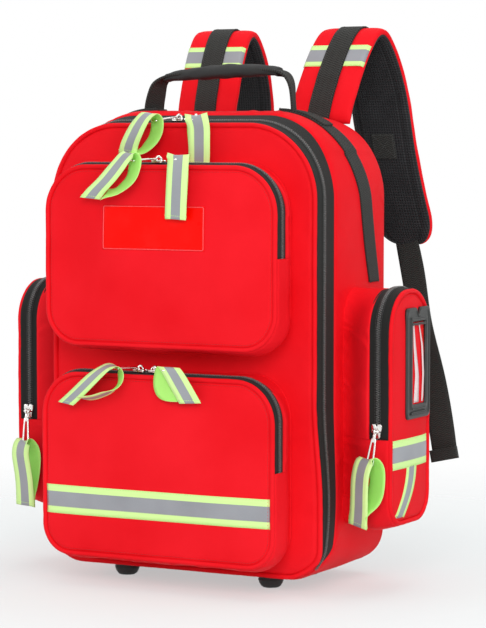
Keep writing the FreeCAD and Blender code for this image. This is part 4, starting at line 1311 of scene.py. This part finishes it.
# ---------------------------------------------------------------- clear patch and card holder
lo, hi = mm_box("clear_patch")
u, v = rectangle(lo[0], hi[0], lo[2], hi[2], 3.0)
points = on_face(upper_face, front_place, u, v)
from_edge = np.minimum(np.minimum(u - lo[0], hi[0] - u), np.minimum(v - lo[2], hi[2] - v))
welt = 0.5 * np.exp(-((from_edge - 1.6) / 1.1) ** 2) + 0.25 * smooth(from_edge / 6.0)
points[..., 1] -= welt
patch = thin_grid("clear_patch_sheet", points, 0.5, np.array([0.0, -1.0, 0.0]), PATCH, "upper_lid",
                  slot="clear_vinyl")
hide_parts("clear_patch")
frame_path = outline(Shape(lo[0] + 0.8, hi[0] - 0.8, lo[2] + 0.8, hi[2] - 0.8, 1.5, 1.5), 3.0)
w = upper_face(frame_path.points[:, 0], frame_path.points[:, 1])
bead = round_profile(0.55, 0.0, 0.0, 6)[None] + vec(0.0, w - 0.9)[:, None]
sweep("patch_weld", frame_path, bead, front_place, WELD, "upper_lid", closed=True,
      slot="clear_vinyl")

lo, hi = mm_box("card_frame")
win_lo, win_hi = mm_box("card_window")
CARD_X = win_lo[0]
u0, u1, v0, v1 = lo[1], hi[1], lo[2], hi[2]
wu0, wu1, wv0, wv1 = win_lo[1], win_hi[1] + 4.0, win_lo[2], win_hi[2]


def plate_profile(path_outer, path_inner, levels):
    """Rings from an outer to an inner loop; each level is (share inwards, height)."""
    rings = []
    for share, height in levels:
        uv = path_outer * (1 - share) + path_inner * share
        rings.append(vec(CARD_X + height, uv[:, 0], uv[:, 1]))
    return np.stack(rings, 1)


def loop_of(s, count=96):
    """Points round a rectangle, matched by angle from its middle, so that two loops pair up."""
    path = outline(s, 1.2).points
    middle = path.mean(0)
    rel = path - middle
    size = np.array([s.right - s.left, s.top - s.bottom]) / 2
    angle = np.unwrap(np.arctan2(rel[:, 1] / size[1], rel[:, 0] / size[0]))
    wanted = np.linspace(angle[0], angle[0] - 2 * math.pi, count, endpoint=False)
    angle = np.append(angle, angle[0] - 2 * math.pi)
    path = np.append(path, path[:1], axis=0)
    return vec(*(np.interp(-wanted, -angle, path[:, k]) for k in (0, 1)))


outer_loop = loop_of(Shape(u0, u1, v0, v1, 5.0, 5.0))
inner_loop = loop_of(Shape(wu0 + 0.3, wu1 - 0.3, wv0 + 0.3, wv1 - 0.3, 1.5, 1.5))
notch = np.clip(1 - np.abs(outer_loop[:, 0] - (u0 + u1) / 2) / 6.0, 0, 1)
outer_loop[:, 1] -= np.where(outer_loop[:, 1] > v1 - 3, smooth(notch) * 8.0, 0)
levels = ((0.0, 0.2), (0.0, 2.6), (0.05, 3.6), (0.20, 3.7), (0.26, 2.9), (0.62, 2.9), (0.68, 3.8),
          (0.90, 3.8), (1.0, 2.8), (1.0, 0.6), (0.5, 0.2))
rings = plate_profile(outer_loop, inner_loop, levels)
holder = build("card_holder", rings, grid_faces(len(outer_loop), len(levels), True, True), PLASTIC,
               "right_lid", slot="black_plastic")
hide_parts("card_frame")
ridges = ((v1 - 17.5, 34.0), (v1 - 11.5, 38.0), (v0 + 11.0, 34.0), (v0 + 6.0, 38.0))
profile = np.array([(0.3, -CARD_X - 3.0), (0.1, -CARD_X - 4.2), (-0.9, -CARD_X - 4.3),
                    (-0.9, -CARD_X - 3.0)])
middle = (u0 + u1) / 2
for number, (height, wide) in enumerate(ridges):
    s = Shape(middle - wide / 2, middle + wide / 2, height - 1.1, height + 1.1, 1.0, 1.0)
    sweep(f"card_ridge{number}", outline(s, 1.0), profile, right_place, PLASTIC, "right_lid",
          closed=True, slot="black_plastic")
u, v = rectangle(wu0 - 0.5, wu1 + 0.5, wv0 - 0.5, wv1 + 0.5, 3.0)
bowed = (CARD_X + 0.5 + 0.5 * np.sin((v - wv0) / (wv1 - wv0) * np.pi)
         + 0.25 * ripple(vec(u, v * 0.4), 16.0, 121))
window = thin_grid("card_window_sheet", vec(bowed, u, v), 0.4, np.array([1.0, 0.0, 0.0]), VINYL,
                   "right_lid", slot="clear_vinyl")
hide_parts("card_window")
# two painted glints, pale sheets laid over the window as painted reflections: where the middle of
# each lies across the window, and half its width
glints = (((0.34, 0.38, 0.20, 0.12), (6.5, 4.8, 3.0, 1.2)),
          ((0.80, 0.86, 0.77, 0.52), (2.2, 2.4, 2.2, 1.0)))
for number, (middles, halves) in enumerate(glints):
    rows = np.linspace(0.02, 0.985, 26)
    middle = wu0 + (wu1 - wu0) * np.interp(rows, [0, 0.35, 0.7, 1], middles)
    half = np.interp(rows, [0, 0.35, 0.7, 1], halves)
    v = (wv0 + (wv1 - wv0) * rows)[:, None]
    points = vec(CARD_X + 0.7, middle[:, None] + half[:, None] * (-1, -0.3, 0.3, 1), v)
    points[..., 0] += 0.5 * np.sin((points[..., 2] - wv0) / (wv1 - wv0) * np.pi) + 1.3
    thin_grid(f"window_painted_glint{number}", points, 0.15, np.array([1.0, 0.0, 0.0]), PAINTED_GLINT, "right_lid",
              slot="clear_vinyl")


# ---------------------------------------------------------------- back panel, pads, feet
back_s = inset(MAIN, ROUND - 0.6)


def back_height(u, v):
    return 0.9 * smooth(inside(back_s, u, v) / 12.0) + 0.35 * ripple(vec(u, v), 80.0, 131)


def back_place(u, w, v):
    return settled(vec(-u, -w, v))


BACK_Y = REAR + 6.0
back = panel("back_sheet", back_s, -BACK_Y + 0.4, back_height, 3.0, back_place, RED, "pack", 5.0,
             slot="red_fabric")
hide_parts("back_panel")
seam_path = outline(inset(MAIN, ROUND - 1.0), 4.0)
ring = round_profile(1.5, BACK_Y - 0.4, 0.0, 8)
sweep("back_binding", seam_path, ring, front_place, BINDING, "pack", closed=True,
      slot="black_webbing")

strap_pivot = pivot_of("right_strap_lift")
yoke_half = strap_pivot[0] + 35.0
yoke_top = strap_pivot[2] - FOAM - GAP
across = np.linspace(-yoke_half, yoke_half, 60)
turn = circle(24)
mid_y, mid_z = BACK_Y + 7.2, yoke_top - 8.4
yoke_y = 7.3 * squarer(np.cos(turn), 0.4)
yoke_z = 8.0 * squarer(np.sin(turn), 0.4)
tuck = (1 - 0.35 * np.exp(-(yoke_half - np.abs(across)) / 2.5))[:, None]
ruck = ripple(vec(across[:, None], turn * 12), 24.0, 137) * 0.35
# between the straps it rises to the handle
rise = smooth((37.5 - np.abs(across)) / 7.0)[:, None] * np.where(np.sin(turn) > 0, 12.0, 0.0)
points = vec(across[:, None], mid_y + yoke_y * tuck + ruck * (np.cos(turn) < 0.9),
             mid_z + yoke_z * tuck + ruck * (np.sin(turn) < 0.5) + rise)
yoke = build("strap_yoke", points, closed_strip(60, 24), BINDING, "pack", slot="black_webbing")


def puffed(name, s, base_y, thick, channels, seed):
    """A sewn back pad with a mesh face: crowned, pulled in at its rim, with stitched channels."""
    u, v = face_grid(s, 4.0)
    d = np.maximum(inside(s, u, v), 0)
    full = thick * (0.35 + 0.65 * (1 - np.exp(-d / 7.0)))
    for height in channels:
        full = full - thick * 0.45 * np.exp(-((v - height) / 4.5) ** 2) * smooth(d / 6.0)
    full = full + ripple(vec(u, v), 36.0, seed) * 0.35 * smooth(d / 10)
    piece = two_sided(name, vec(-u, base_y + full, v), vec(-u, base_y, v), PAD_MESH, "pack", way=-1,
                      slot="black_mesh")
    path = outline(inset(s, 0.6), 4.0)
    ring = round_profile(1.7, -(base_y + thick * 0.30), 0.0, 8)
    sweep(name + "_binding", path, ring, back_place, BINDING, "pack", closed=True,
          slot="black_webbing")
    for number, height in enumerate(channels):
        line_u = np.linspace(s.left + 6, s.right - 6, 30)
        line = vec(-line_u, base_y + thick * 0.56, height)
        stitches(f"{name}_channel{number}", line, (0.0, 1.0, 0.0), "pack", THREAD_DARK,
                 slot="black_mesh")
    return piece


lo, hi = mm_box("back_pads")
pad_thick = hi[1] - BACK_Y
PAD = Shape(12.0, 130.0, 190.0, hi[2], 22.0, 22.0)
pads = [puffed("right_back_pad", PAD, BACK_Y + 0.2, pad_thick, (260.0, 330.0, 400.0), 141),
        puffed("left_back_pad", Shape(-PAD.right, -PAD.left, *PAD[2:]), BACK_Y + 0.2, pad_thick,
               (260.0, 330.0, 400.0), 142),
        puffed("lumbar_pad", Shape(lo[0], hi[0], lo[2], 168.0, 22.0, 22.0), BACK_Y + 0.2, pad_thick,
               (114.0,), 143)]
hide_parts("back_pads")

feet_lo, feet_hi = mm_box("rubber_feet")
foot_r = 14.0
# radius and height round a foot, from its hollow underside to its flat top
profile = [(0.1, 0.3), (6.0, 0.3), (7.0, 0.9), (8.0, 0.3), (8.8, 0.0), (10.6, 1.4), (12.3, 4.0),
           (13.4, 7.0), (13.9, 8.6), (13.3, 9.4), (13.3, 10.2), (14.0, 10.9), (14.0, 14.6),
           (13.4, 15.7), (3.0, 15.8), (0.1, 15.8)]
r, z = np.array(profile).T
turn = circle(32)[:, None]
faces = grid_faces(32, len(z), True)
faces += [tuple(i * len(z) + last for i in range(32)) for last in (0, len(z) - 1)]
for sx in (-1, 1):
    for number, y in enumerate((feet_lo[1] + foot_r, feet_hi[1] - foot_r)):
        points = vec(sx * (feet_hi[0] - foot_r) + np.cos(turn) * r, y + np.sin(turn) * r, z)
        side = "right" if sx > 0 else "left"
        foot = build(f"{side}_foot{number}", points, faces, RUBBER, "pack", slot="foot_rubber")
        if sx < 0 and number == 0:
            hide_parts("rubber_feet")

# lower strap anchors: a webbing tab sewn to the back, and the ladder lock it holds
lo, hi = mm_box("strap_anchors")
for side, sign in (("right", 1), ("left", -1)):
    x = sign * (hi[0] - 12.5)
    knots = [(x, BACK_Y + 0.9, z, 1, 0, 0) for z in np.linspace(hi[2], lo[2] + 1, 5)]
    tab, _, _ = ribbon(side + "_anchor_tab", knots, 25.0, 1.2, WEB, "pack", slot="black_webbing")
    if sign > 0:
        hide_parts("strap_anchors")
    route = crossed(10, -2, -16, 7)
    line = vec(x + route[:, 0], BACK_Y + 2.3, hi[2] + route[:, 1])
    stitches(side + "_anchor_stitch", line, (0.0, 1.0, 0.0), "pack", THREAD_DARK, pitch=2.6,
             length=2.0, slot="black_webbing")

for name, material in (("ladder_locks", PLASTIC), ("stiffening_boards", BOARD)):
    node = frame["nodes"][name]
    node.data.materials.clear()
    node.data.materials.append(material)


# ---------------------------------------------------------------- floor, light and camera
def seen(tree):
    """1 for what the camera, gloss and clear pieces show, and 0 for the light on things."""
    path = add(tree, "ShaderNodeLightPath")
    camera, glossy, through = (Value(tree, path, name) for name in (
        "Is Camera Ray", "Is Glossy Ray", "Is Transmission Ray"))
    return camera.math("MAXIMUM", glossy.math("MAXIMUM", through))


def pale_floor():
    """A pale floor that keeps a soft shadow near the object. Part of it is clear to the camera,
    more so further out, so that it turns into the white world behind."""
    look = Look("pale_floor", roughness=0.8, specular_ior_level=0.1)
    look.bsdf.inputs["Base Color"].default_value = (0.80, 0.865, 0.872, 1)
    reach = Value(look.tree, add(look.tree, "ShaderNodeVectorMath", {0: look.vector},
                                 operation="LENGTH"), "Value")
    clear = add(look.tree, "ShaderNodeBsdfTransparent")
    share = seen(look.tree) * (reach.ramp(0.35, 1.0) * 0.52 + 0.48)
    mixed = add(look.tree, "ShaderNodeMixShader", {0: share, 1: Value(look.tree, look.bsdf),
                                                   2: Value(look.tree, clear)})
    look.tree.links.new(mixed.outputs[0], look.tree.nodes["Material Output"].inputs["Surface"])
    return look.material


mesh = bpy.data.meshes.new("floor")
mesh.from_pydata([(-9, -9, 0), (9, -9, 0), (9, 9, 0), (-9, 9, 0)], [], [(0, 1, 2, 3)])
mesh.materials.append(pale_floor())
floor = bpy.data.objects.new("floor", mesh)
bpy.context.scene.collection.objects.link(floor)

world = bpy.data.worlds.new("studio")
bpy.context.scene.world = world
world.use_nodes = True
tree = world.node_tree
strength = seen(tree).between(0.58, 1.0)
tree.nodes["Background"].inputs["Color"].default_value = (1, 1, 1, 1)
tree.links.new(strength.socket, tree.nodes["Background"].inputs["Strength"])


def softbox(name, place, target, size, power):
    lamp = bpy.data.lights.new(name, "AREA")
    lamp.shape = "RECTANGLE"
    lamp.size, lamp.size_y = size
    lamp.energy = power
    box = bpy.data.objects.new(name, lamp)
    box.location = place
    box.rotation_euler = (Vector(target) - Vector(place)).to_track_quat("-Z", "Y").to_euler()
    bpy.context.scene.collection.objects.link(box)


softbox("key", (1.5, -3.0, 1.7), (0, 0, 0.3), (1.4, 1.4), 45.0)
softbox("fill", (-2.6, -2.0, 1.4), (0, 0, 0.3), (1.6, 1.8), 13.0)
softbox("side", (2.5, -1.7, 0.9), (0, 0, 0.3), (1.2, 1.4), 16.0)
softbox("top", (0.2, 0.4, 2.6), (0, 0, 0.3), (2.0, 2.0), 20.0)

# the camera of the photograph: its direction, and its focal length in the photo's own rows
AZIMUTH, PITCH = math.radians(27.7), math.radians(4.0)
FOCAL, PHOTO_ROWS, SENSOR = 2581.0, 628.0, 36.0
camera = bpy.data.objects.new("camera", bpy.data.cameras.new("camera"))
camera.data.sensor_width = SENSOR
camera.data.lens = FOCAL / PHOTO_ROWS * SENSOR
camera.location = (1.3365, -2.5124, 0.4846)
look = Vector((-math.sin(AZIMUTH) * math.cos(PITCH), math.cos(AZIMUTH) * math.cos(PITCH),
               -math.sin(PITCH)))
camera.rotation_euler = look.to_track_quat("-Z", "Y").to_euler()
camera.data.clip_end = 30
bpy.context.scene.collection.objects.link(camera)
bpy.context.scene.camera = camera
bpy.context.scene.view_settings.view_transform = "Standard"
